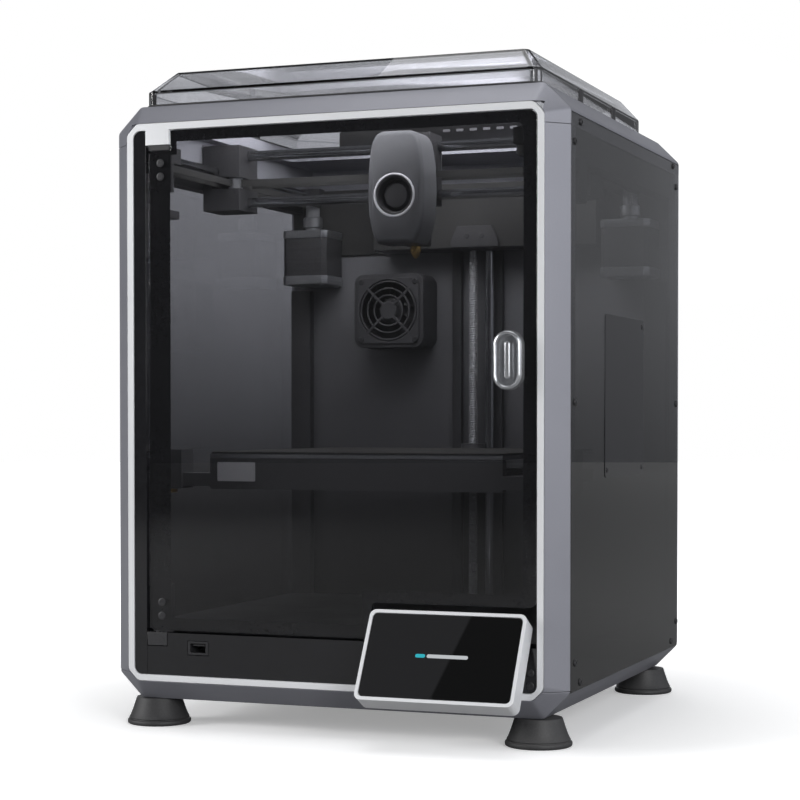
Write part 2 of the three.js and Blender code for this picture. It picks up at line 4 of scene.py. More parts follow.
import bmesh
import bpy
import numpy as np
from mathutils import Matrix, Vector

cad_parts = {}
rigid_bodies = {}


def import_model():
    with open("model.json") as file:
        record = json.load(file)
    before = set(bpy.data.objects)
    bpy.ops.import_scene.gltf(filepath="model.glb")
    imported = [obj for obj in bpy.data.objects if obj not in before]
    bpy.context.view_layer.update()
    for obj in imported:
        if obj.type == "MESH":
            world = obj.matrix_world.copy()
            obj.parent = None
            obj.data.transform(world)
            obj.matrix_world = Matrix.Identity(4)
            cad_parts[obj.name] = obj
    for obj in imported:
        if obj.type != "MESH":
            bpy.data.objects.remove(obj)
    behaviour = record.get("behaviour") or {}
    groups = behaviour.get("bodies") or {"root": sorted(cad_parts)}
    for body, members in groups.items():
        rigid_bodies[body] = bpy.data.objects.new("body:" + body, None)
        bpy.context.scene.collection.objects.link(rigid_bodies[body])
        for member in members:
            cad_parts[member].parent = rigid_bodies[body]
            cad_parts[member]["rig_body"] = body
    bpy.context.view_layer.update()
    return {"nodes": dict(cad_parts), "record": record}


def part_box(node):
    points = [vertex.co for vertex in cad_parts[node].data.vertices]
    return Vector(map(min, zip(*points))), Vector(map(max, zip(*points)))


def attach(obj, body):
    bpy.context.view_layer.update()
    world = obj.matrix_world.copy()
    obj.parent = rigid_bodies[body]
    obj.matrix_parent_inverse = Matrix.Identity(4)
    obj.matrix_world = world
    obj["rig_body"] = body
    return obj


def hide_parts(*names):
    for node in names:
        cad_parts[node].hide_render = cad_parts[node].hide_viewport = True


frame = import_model()
slotOf = {part["node"]: part["material_slot"] for part in frame["record"]["subparts"]}
bodyOf = {name: node["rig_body"] for name, node in frame["nodes"].items()}
print("frame loaded:", len(frame["nodes"]), "nodes")


# ---- camera, light and floor

cameraSettings = {
    "place": (0.5684, -1.4840, 0.2323),
    "downTilt": 1.301,  # degrees below the horizon
    "turn": 21.100,  # degrees to the left of straight ahead
    "lens": 90.04,
    "sensor": 36.0,
    "shiftX": -0.0004,
    "shiftY": 0.0789,
}

cameraData = bpy.data.cameras.new("camera")
cameraData.lens = cameraSettings["lens"]
cameraData.sensor_width = cameraSettings["sensor"]
cameraData.shift_x = cameraSettings["shiftX"]
cameraData.shift_y = cameraSettings["shiftY"]
cameraData.clip_start = 0.05
cameraData.clip_end = 60
camera = bpy.data.objects.new("camera", cameraData)
camera.location = cameraSettings["place"]
camera.rotation_euler = (
    math.radians(90 - cameraSettings["downTilt"]), 0, math.radians(cameraSettings["turn"]))
bpy.context.scene.collection.objects.link(camera)
bpy.context.scene.camera = camera
bpy.context.scene.view_settings.view_transform = "Standard"

# Each lamp is a soft rectangle that looks at a point: place, aim, width, height, watts.
lamps = {
    "keyLamp": ((-2.5, -1.7, 1.1), (0, 0, 0.25), 1.4, 1.2, 62),
    "fillLamp": ((1.6, -1.7, 0.8), (0, 0, 0.25), 0.9, 1.1, 26),
    "topLamp": ((0.1, 0.1, 2.3), (0, 0, 0.3), 1.7, 1.7, 14),
    "rearLamp": ((-1.2, 2.4, 1.6), (0, 0, 0.25), 1.4, 1.4, 6),
    "chamberLamp": ((-0.02, 0.0, 0.463), (-0.04, 0.04, 0.0), 0.26, 0.22, 2.4),
    "doorLamp": ((0.0, -0.146, 0.436), (0.0, 0.10, 0.38), 0.24, 0.03, 0.028),
}

for lampName, (place, aim, width, height, watts) in lamps.items():
    lampData = bpy.data.lights.new(lampName, "AREA")
    lampData.shape = "RECTANGLE"
    lampData.size = width
    lampData.size_y = height
    lampData.energy = watts
    lamp = bpy.data.objects.new(lampName, lampData)
    lamp.location = place
    lamp.rotation_euler = (Vector(aim) - Vector(place)).to_track_quat("-Z", "Y").to_euler()
    lamp.visible_camera = False
    lamp.visible_glossy = lampName not in ("chamberLamp", "doorLamp")
    lamp.visible_transmission = False
    bpy.context.scene.collection.objects.link(lamp)


# ---- node helpers

def addNode(tree, kind, settings=None, **values):
    node = tree.nodes.new(kind)
    for key, value in (settings or {}).items():
        setattr(node, key, value)
    for key, value in values.items():
        socket = node.inputs[int(key[1:])] if key[0] == "i" and key[1:].isdigit() else node.inputs[key]
        if isinstance(value, bpy.types.NodeSocket):
            tree.links.new(value, socket)
        else:
            socket.default_value = value
    return node


def maths(tree, operation, first, second=0.0):
    return addNode(tree, "ShaderNodeMath", {"operation": operation}, i0=first, i1=second).outputs[0]


def mapRange(tree, value, fromLow, fromHigh, toLow, toHigh):
    node = addNode(tree, "ShaderNodeMapRange", {"clamp": True}, Value=value)
    for key, number in (("From Min", fromLow), ("From Max", fromHigh), ("To Min", toLow), ("To Max", toHigh)):
        node.inputs[key].default_value = number
    return node.outputs["Result"]


def mixColour(tree, factor, first, second):
    node = addNode(tree, "ShaderNodeMix", {"data_type": "RGBA"}, i0=factor, i6=first, i7=second)
    return node.outputs[2]


def rgb(colour):
    return (*colour[:3], 1.0)


def newGroup(name, inputs, outputs):
    group = bpy.data.node_groups.new(name, "ShaderNodeTree")
    for label, kind, value in inputs:
        socket = group.interface.new_socket(name=label, in_out="INPUT", socket_type=kind)
        if value is not None:
            socket.default_value = value
    for label, kind in outputs:
        group.interface.new_socket(name=label, in_out="OUTPUT", socket_type=kind)
    entry = group.nodes.new("NodeGroupInput")
    leave = group.nodes.new("NodeGroupOutput")
    return group, entry.outputs, leave.inputs


# Fine speckle of a coat or a moulding: two noises mixed for the shade; the fine one alone is the height.
def buildGrain():
    group, given, out = newGroup("fineGrain", [
        ("Vector", "NodeSocketVector", None), ("Scale", "NodeSocketFloat", 900.0),
        ("Cloud", "NodeSocketFloat", 14.0)], [("Shade", "NodeSocketFloat"), ("Height", "NodeSocketFloat")])
    speck = addNode(group, "ShaderNodeTexNoise", Vector=given["Vector"], Scale=given["Scale"], Detail=2.0)
    cloud = addNode(group, "ShaderNodeTexNoise", Vector=given["Vector"], Scale=given["Cloud"], Detail=3.0)
    shade = maths(group, "ADD", maths(group, "MULTIPLY", speck.outputs["Fac"], 0.55),
                  maths(group, "MULTIPLY", cloud.outputs["Fac"], 0.45))
    group.links.new(shade, out["Shade"])
    group.links.new(speck.outputs["Fac"], out["Height"])
    return group


# Bright rubbed edges: where the rounded normal leaves the flat one, broken up by a noise.
def buildWear():
    group, given, out = newGroup("edgeWear", [
        ("Vector", "NodeSocketVector", None), ("Amount", "NodeSocketFloat", 0.4)],
        [("Mask", "NodeSocketFloat")])
    rounded = addNode(group, "ShaderNodeBevel", {"samples": 4}, Radius=0.0005)
    flat = addNode(group, "ShaderNodeNewGeometry")
    dot = addNode(group, "ShaderNodeVectorMath", {"operation": "DOT_PRODUCT"},
                  i0=rounded.outputs[0], i1=flat.outputs["Normal"])
    edge = mapRange(group, dot.outputs["Value"], 0.98, 0.80, 0.0, 1.0)
    patch = addNode(group, "ShaderNodeTexNoise", Vector=given["Vector"], Scale=60.0, Detail=4.0)
    broken = mapRange(group, patch.outputs["Fac"], 0.42, 0.62, 0.15, 1.0)
    mask = maths(group, "MULTIPLY", maths(group, "MULTIPLY", edge, broken), given["Amount"])
    group.links.new(mask, out["Mask"])
    return group


# Settled dust: stronger on faces that look up, in soft patches.
def buildDust():
    group, given, out = newGroup("settledDust", [
        ("Vector", "NodeSocketVector", None), ("Amount", "NodeSocketFloat", 0.1)],
        [("Mask", "NodeSocketFloat")])
    flat = addNode(group, "ShaderNodeNewGeometry")
    up = addNode(group, "ShaderNodeSeparateXYZ", Vector=flat.outputs["Normal"])
    level = mapRange(group, up.outputs["Z"], 0.2, 1.0, 0.1, 1.0)
    patch = addNode(group, "ShaderNodeTexNoise", Vector=given["Vector"], Scale=25.0, Detail=6.0)
    soft = mapRange(group, patch.outputs["Fac"], 0.35, 0.75, 0.0, 1.0)
    mask = maths(group, "MULTIPLY", maths(group, "MULTIPLY", level, soft), given["Amount"])
    group.links.new(mask, out["Mask"])
    return group


# Handling marks on a glossy surface: soft clouds and a few fine straight hairlines.
def buildSmudge():
    group, given, out = newGroup("handlingMarks", [("Vector", "NodeSocketVector", None)],
                                 [("Mask", "NodeSocketFloat"), ("Hairline", "NodeSocketFloat")])
    cloud = addNode(group, "ShaderNodeTexNoise", Vector=given["Vector"], Scale=18.0, Detail=5.0,
                    Distortion=0.6)
    group.links.new(mapRange(group, cloud.outputs["Fac"], 0.45, 0.7, 0.0, 1.0), out["Mask"])
    turned = addNode(group, "ShaderNodeMapping", Vector=given["Vector"])
    turned.inputs["Scale"].default_value = (9.0, 9.0, 900.0)
    turned.inputs["Rotation"].default_value = (0.5, 0.7, 0.3)
    hair = addNode(group, "ShaderNodeTexNoise", Vector=turned.outputs[0], Scale=1.0, Detail=1.0)
    group.links.new(mapRange(group, hair.outputs["Fac"], 0.66, 0.74, 0.0, 1.0), out["Hairline"])
    return group


# Drawn or brushed metal: a noise stretched along the direction whose scale is small.
def buildBrush():
    group, given, out = newGroup("brushedMarks", [
        ("Vector", "NodeSocketVector", None), ("Stretch", "NodeSocketVector", (800.0, 800.0, 8.0))],
        [("Shade", "NodeSocketFloat")])
    scaled = addNode(group, "ShaderNodeVectorMath", {"operation": "MULTIPLY"},
                     i0=given["Vector"], i1=given["Stretch"])
    line = addNode(group, "ShaderNodeTexNoise", Vector=scaled.outputs[0], Scale=1.0, Detail=3.0)
    group.links.new(line.outputs["Fac"], out["Shade"])
    return group


grainGroup = buildGrain()
wearGroup = buildWear()
dustGroup = buildDust()
smudgeGroup = buildSmudge()
brushGroup = buildBrush()


def useGroup(tree, group, vector, **values):
    node = addNode(tree, "ShaderNodeGroup", {"node_tree": group}, Vector=vector, **values)
    return node.outputs


def startMaterial(name):
    material = bpy.data.materials.new(name)
    material.use_nodes = True
    tree = material.node_tree
    shader = next(node for node in tree.nodes if node.type == "BSDF_PRINCIPLED")
    place = addNode(tree, "ShaderNodeTexCoord").outputs["Object"]
    return material, tree, shader, place


# ---- opaque finishes: two shades, grain, brushing, rubbed edges and dust, all in one builder

opaqueFinishes = {
    "frameCoat": dict(dark=(0.245, 0.248, 0.280), light=(0.275, 0.278, 0.312), rough=(0.36, 0.46),
                      grain=1500, bump=0.05, metal=0.4, wear=0.12, worn=(0.55, 0.56, 0.60), dust=0.03),
    "ringSatin": dict(dark=(0.87, 0.88, 0.90), light=(0.90, 0.91, 0.93), rough=(0.28, 0.33),
                      grain=1800, bump=0.02, metal=0.30, wear=0.0, worn=(0.95, 0.95, 0.96), dust=0.0),
    "mouldedBlack": dict(dark=(0.014, 0.014, 0.016), light=(0.030, 0.030, 0.033), rough=(0.42, 0.56),
                         grain=1100, bump=0.16, wear=0.25, worn=(0.08, 0.08, 0.085), dust=0.06),
    "glossBlack": dict(dark=(0.006, 0.006, 0.007), light=(0.010, 0.010, 0.012), rough=(0.05, 0.16),
                       grain=300, bump=0.01, coat=0.4, wear=0.15, worn=(0.05, 0.05, 0.05), dust=0.03),
    "panelBorder": dict(dark=(0.012, 0.012, 0.014), light=(0.018, 0.018, 0.020), rough=(0.10, 0.20),
                        grain=500, bump=0.0, wear=0.0, worn=(0.02, 0.02, 0.02), dust=0.0),
    "footRubber": dict(dark=(0.022, 0.022, 0.023), light=(0.040, 0.040, 0.042), rough=(0.50, 0.66),
                       grain=700, bump=0.12, wear=0.3, worn=(0.09, 0.09, 0.09), dust=0.18),
    "polishedSteel": dict(dark=(0.50, 0.51, 0.53), light=(0.72, 0.73, 0.75), rough=(0.10, 0.22),
                          grain=600, bump=0.01, metal=1.0, wear=0.0, worn=(0.8, 0.8, 0.8), dust=0.0,
                          brush=(900.0, 900.0, 900.0)),
    "threadSteel": dict(dark=(0.42, 0.43, 0.45), light=(0.62, 0.63, 0.65), rough=(0.22, 0.34),
                        grain=900, bump=0.04, metal=0.6, wear=0.5, worn=(0.8, 0.8, 0.82), dust=0.0),
    "blackSteel": dict(dark=(0.020, 0.020, 0.022), light=(0.036, 0.036, 0.039), rough=(0.34, 0.46),
                       grain=1000, bump=0.10, metal=0.3, wear=0.5, worn=(0.22, 0.22, 0.23), dust=0.05),
    "machinedAluminium": dict(dark=(0.42, 0.43, 0.45), light=(0.58, 0.59, 0.61), rough=(0.28, 0.40),
                              grain=900, bump=0.05, metal=0.95, wear=0.4, worn=(0.8, 0.8, 0.82), dust=0.02,
                              brush=(30.0, 30.0, 1400.0)),
    "nozzleBrass": dict(dark=(0.48, 0.30, 0.09), light=(0.72, 0.50, 0.20), rough=(0.22, 0.36),
                        grain=1400, bump=0.03, metal=1.0, wear=0.4, worn=(0.9, 0.75, 0.4), dust=0.0),
    "boardGreen": dict(dark=(0.010, 0.070, 0.030), light=(0.018, 0.110, 0.050), rough=(0.30, 0.42),
                       grain=500, bump=0.05, wear=0.2, worn=(0.3, 0.35, 0.25), dust=0.05),
    "coverSatin": dict(dark=(0.078, 0.080, 0.087), light=(0.105, 0.107, 0.115), rough=(0.30, 0.40),
                       grain=1700, bump=0.04, metal=0.25, wear=0.2, worn=(0.6, 0.6, 0.62), dust=0.02),
    "buildSurface": dict(dark=(0.018, 0.018, 0.019), light=(0.045, 0.044, 0.042), rough=(0.50, 0.75),
                         grain=650, bump=0.35, metal=0.2, wear=0.3, worn=(0.25, 0.24, 0.22), dust=0.04),
    "beltRubber": dict(dark=(0.012, 0.012, 0.012), light=(0.026, 0.026, 0.026), rough=(0.55, 0.70),
                       grain=1200, bump=0.10, wear=0.2, worn=(0.06, 0.06, 0.06), dust=0.02),
    # Pale finish of the bed apron's label, also used for the painted glints at the lid's rear vents.
    "paleLabelAndGlint": dict(dark=(0.50, 0.50, 0.52), light=(0.60, 0.60, 0.62), rough=(0.35, 0.45),
                      grain=800, bump=0.02, wear=0.2, worn=(0.75, 0.75, 0.75), dust=0.0),
    "motorCore": dict(dark=(0.030, 0.030, 0.032), light=(0.080, 0.080, 0.085), rough=(0.36, 0.50),
                      grain=600, bump=0.10, metal=0.6, wear=0.3, worn=(0.3, 0.3, 0.3), dust=0.02,
                      brush=(6.0, 6.0, 2600.0)),
    "pullSilver": dict(dark=(0.40, 0.41, 0.43), light=(0.50, 0.51, 0.53), rough=(0.18, 0.26),
                       grain=1500, bump=0.02, metal=0.75, wear=0.1, worn=(0.8, 0.8, 0.8), dust=0.0),
    "fanRing": dict(dark=(0.50, 0.50, 0.53), light=(0.60, 0.60, 0.63), rough=(0.24, 0.34),
                    grain=1500, bump=0.02, metal=0.15, wear=0.2, worn=(0.8, 0.8, 0.8), dust=0.0),
    "carrierBlack": dict(dark=(0.050, 0.050, 0.054), light=(0.070, 0.070, 0.075), rough=(0.40, 0.52),
                         grain=1100, bump=0.10, wear=0.2, worn=(0.16, 0.16, 0.17), dust=0.02),
    "smokedPlate": dict(dark=(0.012, 0.012, 0.014), light=(0.018, 0.018, 0.021), rough=(0.01, 0.035),
                        grain=400, bump=0.0, wear=0.1, worn=(0.06, 0.06, 0.06), dust=0.01),
    # The rear wall's colour fades to black towards the bottom: painted shade of the dim lower chamber.
    "innerWallPaintedShade": dict(dark=(0.095, 0.096, 0.105), light=(0.125, 0.126, 0.136), rough=(0.40, 0.52),
                      grain=1100, bump=0.06, wear=0.2, worn=(0.14, 0.14, 0.15), dust=0.0,
                      fade=(0.08, 0.37, 0.04, 1.0)),
}


def buildOpaque(name, look):
    material, tree, shader, place = startMaterial(name)
    grain = useGroup(tree, grainGroup, place, Scale=float(look["grain"]))
    shade, height = grain["Shade"], grain["Height"]
    if "brush" in look:
        drawn = useGroup(tree, brushGroup, place, Stretch=look["brush"])["Shade"]
        shade = maths(tree, "MULTIPLY", maths(tree, "ADD", shade, drawn), 0.5)
        height = maths(tree, "MULTIPLY", maths(tree, "ADD", height, drawn), 0.5)
    spread = mapRange(tree, shade, 0.35, 0.65, 0.0, 1.0)
    colour = mixColour(tree, spread, rgb(look["dark"]), rgb(look["light"]))
    # Painted shade: the colour falls to black towards the bottom, by height.
    if "fade" in look:
        height = addNode(tree, "ShaderNodeSeparateXYZ", Vector=place).outputs["Z"]
        colour = mixColour(tree, mapRange(tree, height, *look["fade"]), rgb((0.0, 0.0, 0.0)), colour)
    if look["wear"]:
        mask = useGroup(tree, wearGroup, place, Amount=look["wear"])["Mask"]
        colour = mixColour(tree, mask, colour, rgb(look["worn"]))
    if look["dust"]:
        mask = useGroup(tree, dustGroup, place, Amount=look["dust"])["Mask"]
        colour = mixColour(tree, mask, colour, rgb((0.55, 0.54, 0.52)))
    tree.links.new(colour, shader.inputs["Base Color"])
    marks = useGroup(tree, smudgeGroup, place)["Mask"]
    low, high = look["rough"]
    mixed = maths(tree, "ADD", maths(tree, "MULTIPLY", spread, 0.5), maths(tree, "MULTIPLY", marks, 0.5))
    tree.links.new(mapRange(tree, mixed, 0.0, 1.0, low, high), shader.inputs["Roughness"])
    if look["bump"]:
        bump = addNode(tree, "ShaderNodeBump", Height=height, Strength=look["bump"], Distance=0.0004)
        tree.links.new(bump.outputs[0], shader.inputs["Normal"])
    shader.inputs["Metallic"].default_value = look.get("metal", 0.0)
    shader.inputs["Coat Weight"].default_value = look.get("coat", 0.0)
    shader.inputs["Coat Roughness"].default_value = 0.06
    return material


finishes = {name: buildOpaque(name, look) for name, look in opaqueFinishes.items()}

# ---- smoked sheets: tinted glass, darker towards the bottom as a painted shade, let through by shadow rays

sheetFinishes = {
    # The low tints are painted shade: each sheet is darker towards its bottom.
    "doorSmoke": dict(paintedShadeTint=(0.36, 0.36, 0.375), highTint=(0.47, 0.47, 0.485), low=0.08, high=0.44,
                      rough=(0.0, 0.02), lamp=0.6),
    "sideSmoke": dict(paintedShadeTint=(0.020, 0.020, 0.022), highTint=(0.48, 0.48, 0.495), low=0.06, high=0.46,
                      rough=(0.0, 0.03), lamp=0.35),
    "lidSmoke": dict(paintedShadeTint=(0.70, 0.70, 0.71), highTint=(0.80, 0.80, 0.81), low=0.466, high=0.494,
                     rough=(0.0, 0.02), lamp=0.7),
}


def buildSheet(name, look):
    material, tree, shader, place = startMaterial(name)
    height = addNode(tree, "ShaderNodeSeparateXYZ", Vector=place).outputs["Z"]
    cloud = useGroup(tree, grainGroup, place, Scale=300.0, Cloud=6.0)["Shade"]
    lifted = maths(tree, "ADD", height, mapRange(tree, cloud, 0.0, 1.0, -0.01, 0.01))
    # Painted shade: the tint darkens towards the bottom, by height.
    factor = mapRange(tree, lifted, look["low"], look["high"], 0.0, 1.0)
    tint = mixColour(tree, factor, rgb(look["paintedShadeTint"]), rgb(look["highTint"]))
    tree.links.new(tint, shader.inputs["Base Color"])
    marks = useGroup(tree, smudgeGroup, place)["Mask"]
    low, high = look["rough"]
    tree.links.new(mapRange(tree, marks, 0.0, 1.0, low, high), shader.inputs["Roughness"])
    shader.inputs["Transmission Weight"].default_value = 1.0
    shader.inputs["IOR"].default_value = 1.49
    clear = addNode(tree, "ShaderNodeBsdfTransparent")
    clear.inputs["Color"].default_value = rgb((look["lamp"],) * 3)
    path = addNode(tree, "ShaderNodeLightPath")
    mix = addNode(tree, "ShaderNodeMixShader")
    tree.links.new(path.outputs["Is Shadow Ray"], mix.inputs[0])
    tree.links.new(shader.outputs[0], mix.inputs[1])
    tree.links.new(clear.outputs[0], mix.inputs[2])
    output = next(node for node in tree.nodes if node.type == "OUTPUT_MATERIAL")
    tree.links.new(mix.outputs[0], output.inputs["Surface"])
    return material


finishes.update({name: buildSheet(name, look) for name, look in sheetFinishes.items()})

# ---- display: near-black glass that glows a little, with a painted reflection lighter towards its left, and fine rows

glowFinishes = {
    # The screen's left colour is a painted reflection, not part of the display's picture.
    "screenDisplay": dict(left=(0.012, 0.012, 0.013), right=(0.0, 0.0, 0.0), edge=(0.0785, 0.0805),
                          rough=0.05),
    "barWhite": dict(left=(0.50, 0.52, 0.54), right=(0.50, 0.52, 0.54), edge=(0.0, 1.0), rough=0.2),
    "barCyan": dict(left=(0.03, 0.42, 0.50), right=(0.03, 0.42, 0.50), edge=(0.0, 1.0), rough=0.2),
}


def buildGlow(name, look):
    material, tree, shader, place = startMaterial(name)
    parts = addNode(tree, "ShaderNodeSeparateXYZ", Vector=place).outputs
    # Painted reflection: a slanted band, lighter towards the left.
    paintedReflectionSlant = maths(tree, "SUBTRACT", parts["X"], maths(tree, "MULTIPLY", parts["Z"], 0.35))
    across = mapRange(tree, paintedReflectionSlant, look["edge"][0], look["edge"][1], 0.0, 1.0)
    rows = maths(tree, "SINE", maths(tree, "MULTIPLY", parts["Z"], 12000.0))
    level = mapRange(tree, rows, -1.0, 1.0, 0.92, 1.0)
    colour = mixColour(tree, across, rgb(look["left"]), rgb(look["right"]))
    tree.links.new(colour, shader.inputs["Emission Color"])
    marks = useGroup(tree, smudgeGroup, place)["Mask"]
    rough = mapRange(tree, marks, 0.0, 1.0, look["rough"], look["rough"] + 0.06)
    tree.links.new(rough, shader.inputs["Roughness"])
    shade = mixColour(tree, level, rgb((0.001, 0.001, 0.001)), rgb((0.003, 0.003, 0.003)))
    tree.links.new(shade, shader.inputs["Base Color"])
    shader.inputs["Emission Strength"].default_value = 1.0
    return material


finishes.update({name: buildGlow(name, look) for name, look in glowFinishes.items()})


# Studio floor: pale paper that fades to plain white further out for the camera. In mirrors it is dimmer, and
# glows more further out, behind the machine and to its left.
def buildFloor():
    material, tree, shader, place = startMaterial("floorStudio")
    seen = addNode(tree, "ShaderNodeLightPath").outputs["Is Camera Ray"]
    fibre = useGroup(tree, grainGroup, place, Scale=500.0)["Shade"]
    pale = mixColour(tree, mapRange(tree, fibre, 0.3, 0.7, 0.0, 1.0), rgb((0.88, 0.88, 0.88)),
                     rgb((0.92, 0.92, 0.92)))
    tree.links.new(mixColour(tree, seen, rgb((0.30, 0.30, 0.30)), pale), shader.inputs["Base Color"])
    reach = addNode(tree, "ShaderNodeVectorMath", {"operation": "LENGTH"}, i0=place).outputs["Value"]
    glow = maths(tree, "MULTIPLY", mapRange(tree, reach, 0.20, 0.75, 0.30, 1.0), seen)
    parts = addNode(tree, "ShaderNodeSeparateXYZ", Vector=place).outputs
    sides = maths(tree, "MULTIPLY", mapRange(tree, parts["X"], -2.0, 2.0, 0.34, 0.12),
                  mapRange(tree, parts["Y"], -1.0, 1.0, 0.10, 1.0))
    far = maths(tree, "MULTIPLY", mapRange(tree, reach, 0.6, 7.0, 0.0, 1.0), sides)
    mirrored = maths(tree, "MULTIPLY", far, maths(tree, "SUBTRACT", 1.0, seen))
    level = maths(tree, "ADD", glow, mirrored)
    tree.links.new(mixColour(tree, level, rgb((0, 0, 0)), rgb((1, 1, 1))), shader.inputs["Emission Color"])
    shader.inputs["Emission Strength"].default_value = 1.0
    shader.inputs["Roughness"].default_value = 0.8
    return material


finishes["floorStudio"] = buildFloor()
print("materials built:", len(finishes))

finishOfSlot = {
    "frame_coating": "frameCoat", "ring_silver": "ringSatin", "dark_plastic": "mouldedBlack",
    "gloss_black": "glossBlack", "door_glass": "doorSmoke", "side_acrylic": "sideSmoke",
    "lid_acrylic": "lidSmoke", "rubber": "footRubber", "steel": "polishedSteel",
    "dark_steel": "blackSteel", "aluminium": "machinedAluminium", "brass": "nozzleBrass",
    "circuit_board": "boardGreen", "cover_grey": "coverSatin", "plate_black": "buildSurface",
}

for nodeName, node in frame["nodes"].items():
    node.data.materials.clear()
    node.data.materials.append(finishes[finishOfSlot[slotOf[nodeName]]])


# ---- shapes: every shape is (points, faces); faces are lists of point numbers

# Faces between neighbouring rows and columns of a grid of points; either way may close on itself.
def gridFaces(rows, columns, closeRows=False, closeColumns=True):
    row = np.arange(rows if closeRows else rows - 1)
    column = np.arange(columns if closeColumns else columns - 1)
    a, b = (part.ravel() for part in np.meshgrid(row, column, indexing="ij"))
    c, d = (a + 1) % rows, (b + 1) % columns
    return np.stack([a * columns + b, a * columns + d, c * columns + d, c * columns + b], 1).tolist()


# A flat outline set at a level along an axis: across and up stay, the level is the third coordinate.
def lift(outline, level, axis):
    across, up = outline[:, 0], outline[:, 1]
    third = np.full(len(outline), level)
    order = {"x": (third, across, up), "y": (across, third, up), "z": (across, up, third)}
    return np.stack(order[axis], 1)


# Rectangle with round corners: a quarter circle about each corner's centre.
def roundedOutline(x0, x1, z0, z1, radius, steps=5):
    turn = np.linspace(0, math.pi / 2, steps + 1)
    centres = [(x1 - radius, z1 - radius, 0), (x0 + radius, z1 - radius, 1),
               (x0 + radius, z0 + radius, 2), (x1 - radius, z0 + radius, 3)]
    return np.concatenate([np.stack([
        cx + radius * np.cos(turn + quarter * math.pi / 2),
        cz + radius * np.sin(turn + quarter * math.pi / 2)], 1) for cx, cz, quarter in centres])


# Outline moved inwards: each corner shifts along the mean of its two edges' normals, by the inset over the
# cosine between the mean and a normal.
def insetOutline(outline, inset):
    edge = np.roll(outline, -1, 0) - outline
    length = np.linalg.norm(edge, axis=1, keepdims=True)
    normal = np.stack([-edge[:, 1], edge[:, 0]], 1) / np.maximum(length, 1e-9)
    area = np.sum(outline[:, 0] * np.roll(outline[:, 1], -1) - np.roll(outline[:, 0], -1) * outline[:, 1])
    normal *= 1 if area > 0 else -1
    mean = normal + np.roll(normal, 1, 0)
    mean /= np.maximum(np.linalg.norm(mean, axis=1, keepdims=True), 1e-9)
    cosine = np.clip(np.sum(mean * normal, 1, keepdims=True), 0.4, 1)
    return outline + mean * inset / cosine


# Points of a circle of radius one, evenly spaced from a start angle, after their angles.
def unitCircle(steps, start=0.0):
    turn = np.linspace(start, start + 2 * math.pi, steps, endpoint=False)
    return turn, np.stack([np.cos(turn), np.sin(turn)], 1)


# The two faces that close the first and the last row of a grid.
def endFaces(rows, columns):
    return [list(range(columns)), [(rows - 1) * columns + k for k in range(columns)]]


# Outlines of equal length stacked at levels, walls between them, first and last closed with a face.
def layeredShape(layers, axis):
    rings = [lift(outline, level, axis) for outline, level in layers]
    count = len(layers[0][0])
    return np.concatenate(rings), gridFaces(len(rings), count) + endFaces(len(rings), count)


# Plate whose rim is a quarter circle at both faces: inset r(1 - sin t), level r(1 - cos t).
def softPlate(outline, low, high, edge, axis, steps=3):
    turn = np.linspace(0, math.pi / 2, steps + 1)
    front = [(insetOutline(outline, edge * (1 - math.sin(t))), low + edge * (1 - math.cos(t)))
             for t in turn]
    back = [(shape, high - (level - low)) for shape, level in front[::-1]]
    return layeredShape(front + back, axis)


# Block with rounded edges between two corners.
def softBlock(x0, x1, y0, y1, z0, z1, edge=0.0005, axis="y"):
    spans = {"x": (y0, y1, z0, z1, x0, x1), "y": (x0, x1, z0, z1, y0, y1), "z": (x0, x1, y0, y1, z0, z1)}
    a0, a1, b0, b1, low, high = spans[axis]
    return softPlate(roundedOutline(a0, a1, b0, b1, edge * 1.5, 3), low, high, edge, axis, 2)


# Plate with a hole: four rings of points, outside and inside at both levels, with small chamfers.
def ringShape(outer, inner, low, high, axis, edge=0.0002):
    layers = [(outer, low + edge), (outer, high - edge), (insetOutline(outer, edge), high),
              (insetOutline(inner, -edge), high), (inner, high - edge), (inner, low + edge),
              (insetOutline(inner, -edge), low), (insetOutline(outer, edge), low)]
    rings = [lift(outline, level, axis) for outline, level in layers]
    return np.concatenate(rings), gridFaces(len(rings), len(outer), closeRows=True)


# Profile of (radius, level) turned about an axis: across = r cos t, up = r sin t.
def turnedShape(profile, centre, axis, steps=48, closed=False):
    circle = unitCircle(steps)[1]
    rings = [lift(circle * max(radius, 1e-6) + centre, level, axis) for radius, level in profile]
    faces = gridFaces(len(rings), steps, closeRows=closed)
    if not closed:
        faces += endFaces(len(rings), steps)
    return np.concatenate(rings), faces


# Round wire ring: a small circle of points turned about the axis.
def wireRing(radius, wire, centre, level, axis, steps=64):
    turn = np.linspace(0, 2 * math.pi, 10, endpoint=False)
    profile = list(zip(radius + wire * np.cos(turn), level + wire * np.sin(turn)))
    return turnedShape(profile, centre, axis, steps, closed=True)


# Button-head screw: flat base, domed rim, and a six-sided recess of radius a / cos(angle to the flat).
def screwHead(centre, level, out, radius, height, axis):
    turn, circle = unitCircle(24)
    toFlat = (turn % (math.pi / 3)) - math.pi / 6
    hexagon = circle * (0.46 / np.cos(toFlat))[:, None]
    rows = [(circle * radius, 0), (circle * radius, 0.35), (circle * radius * 0.93, 0.72),
            (circle * radius * 0.78, 1.0), (hexagon * radius, 0.97), (hexagon * radius * 0.94, 0.25)]
    return layeredShape([(flat + centre, level + out * height * rise) for flat, rise in rows], axis)


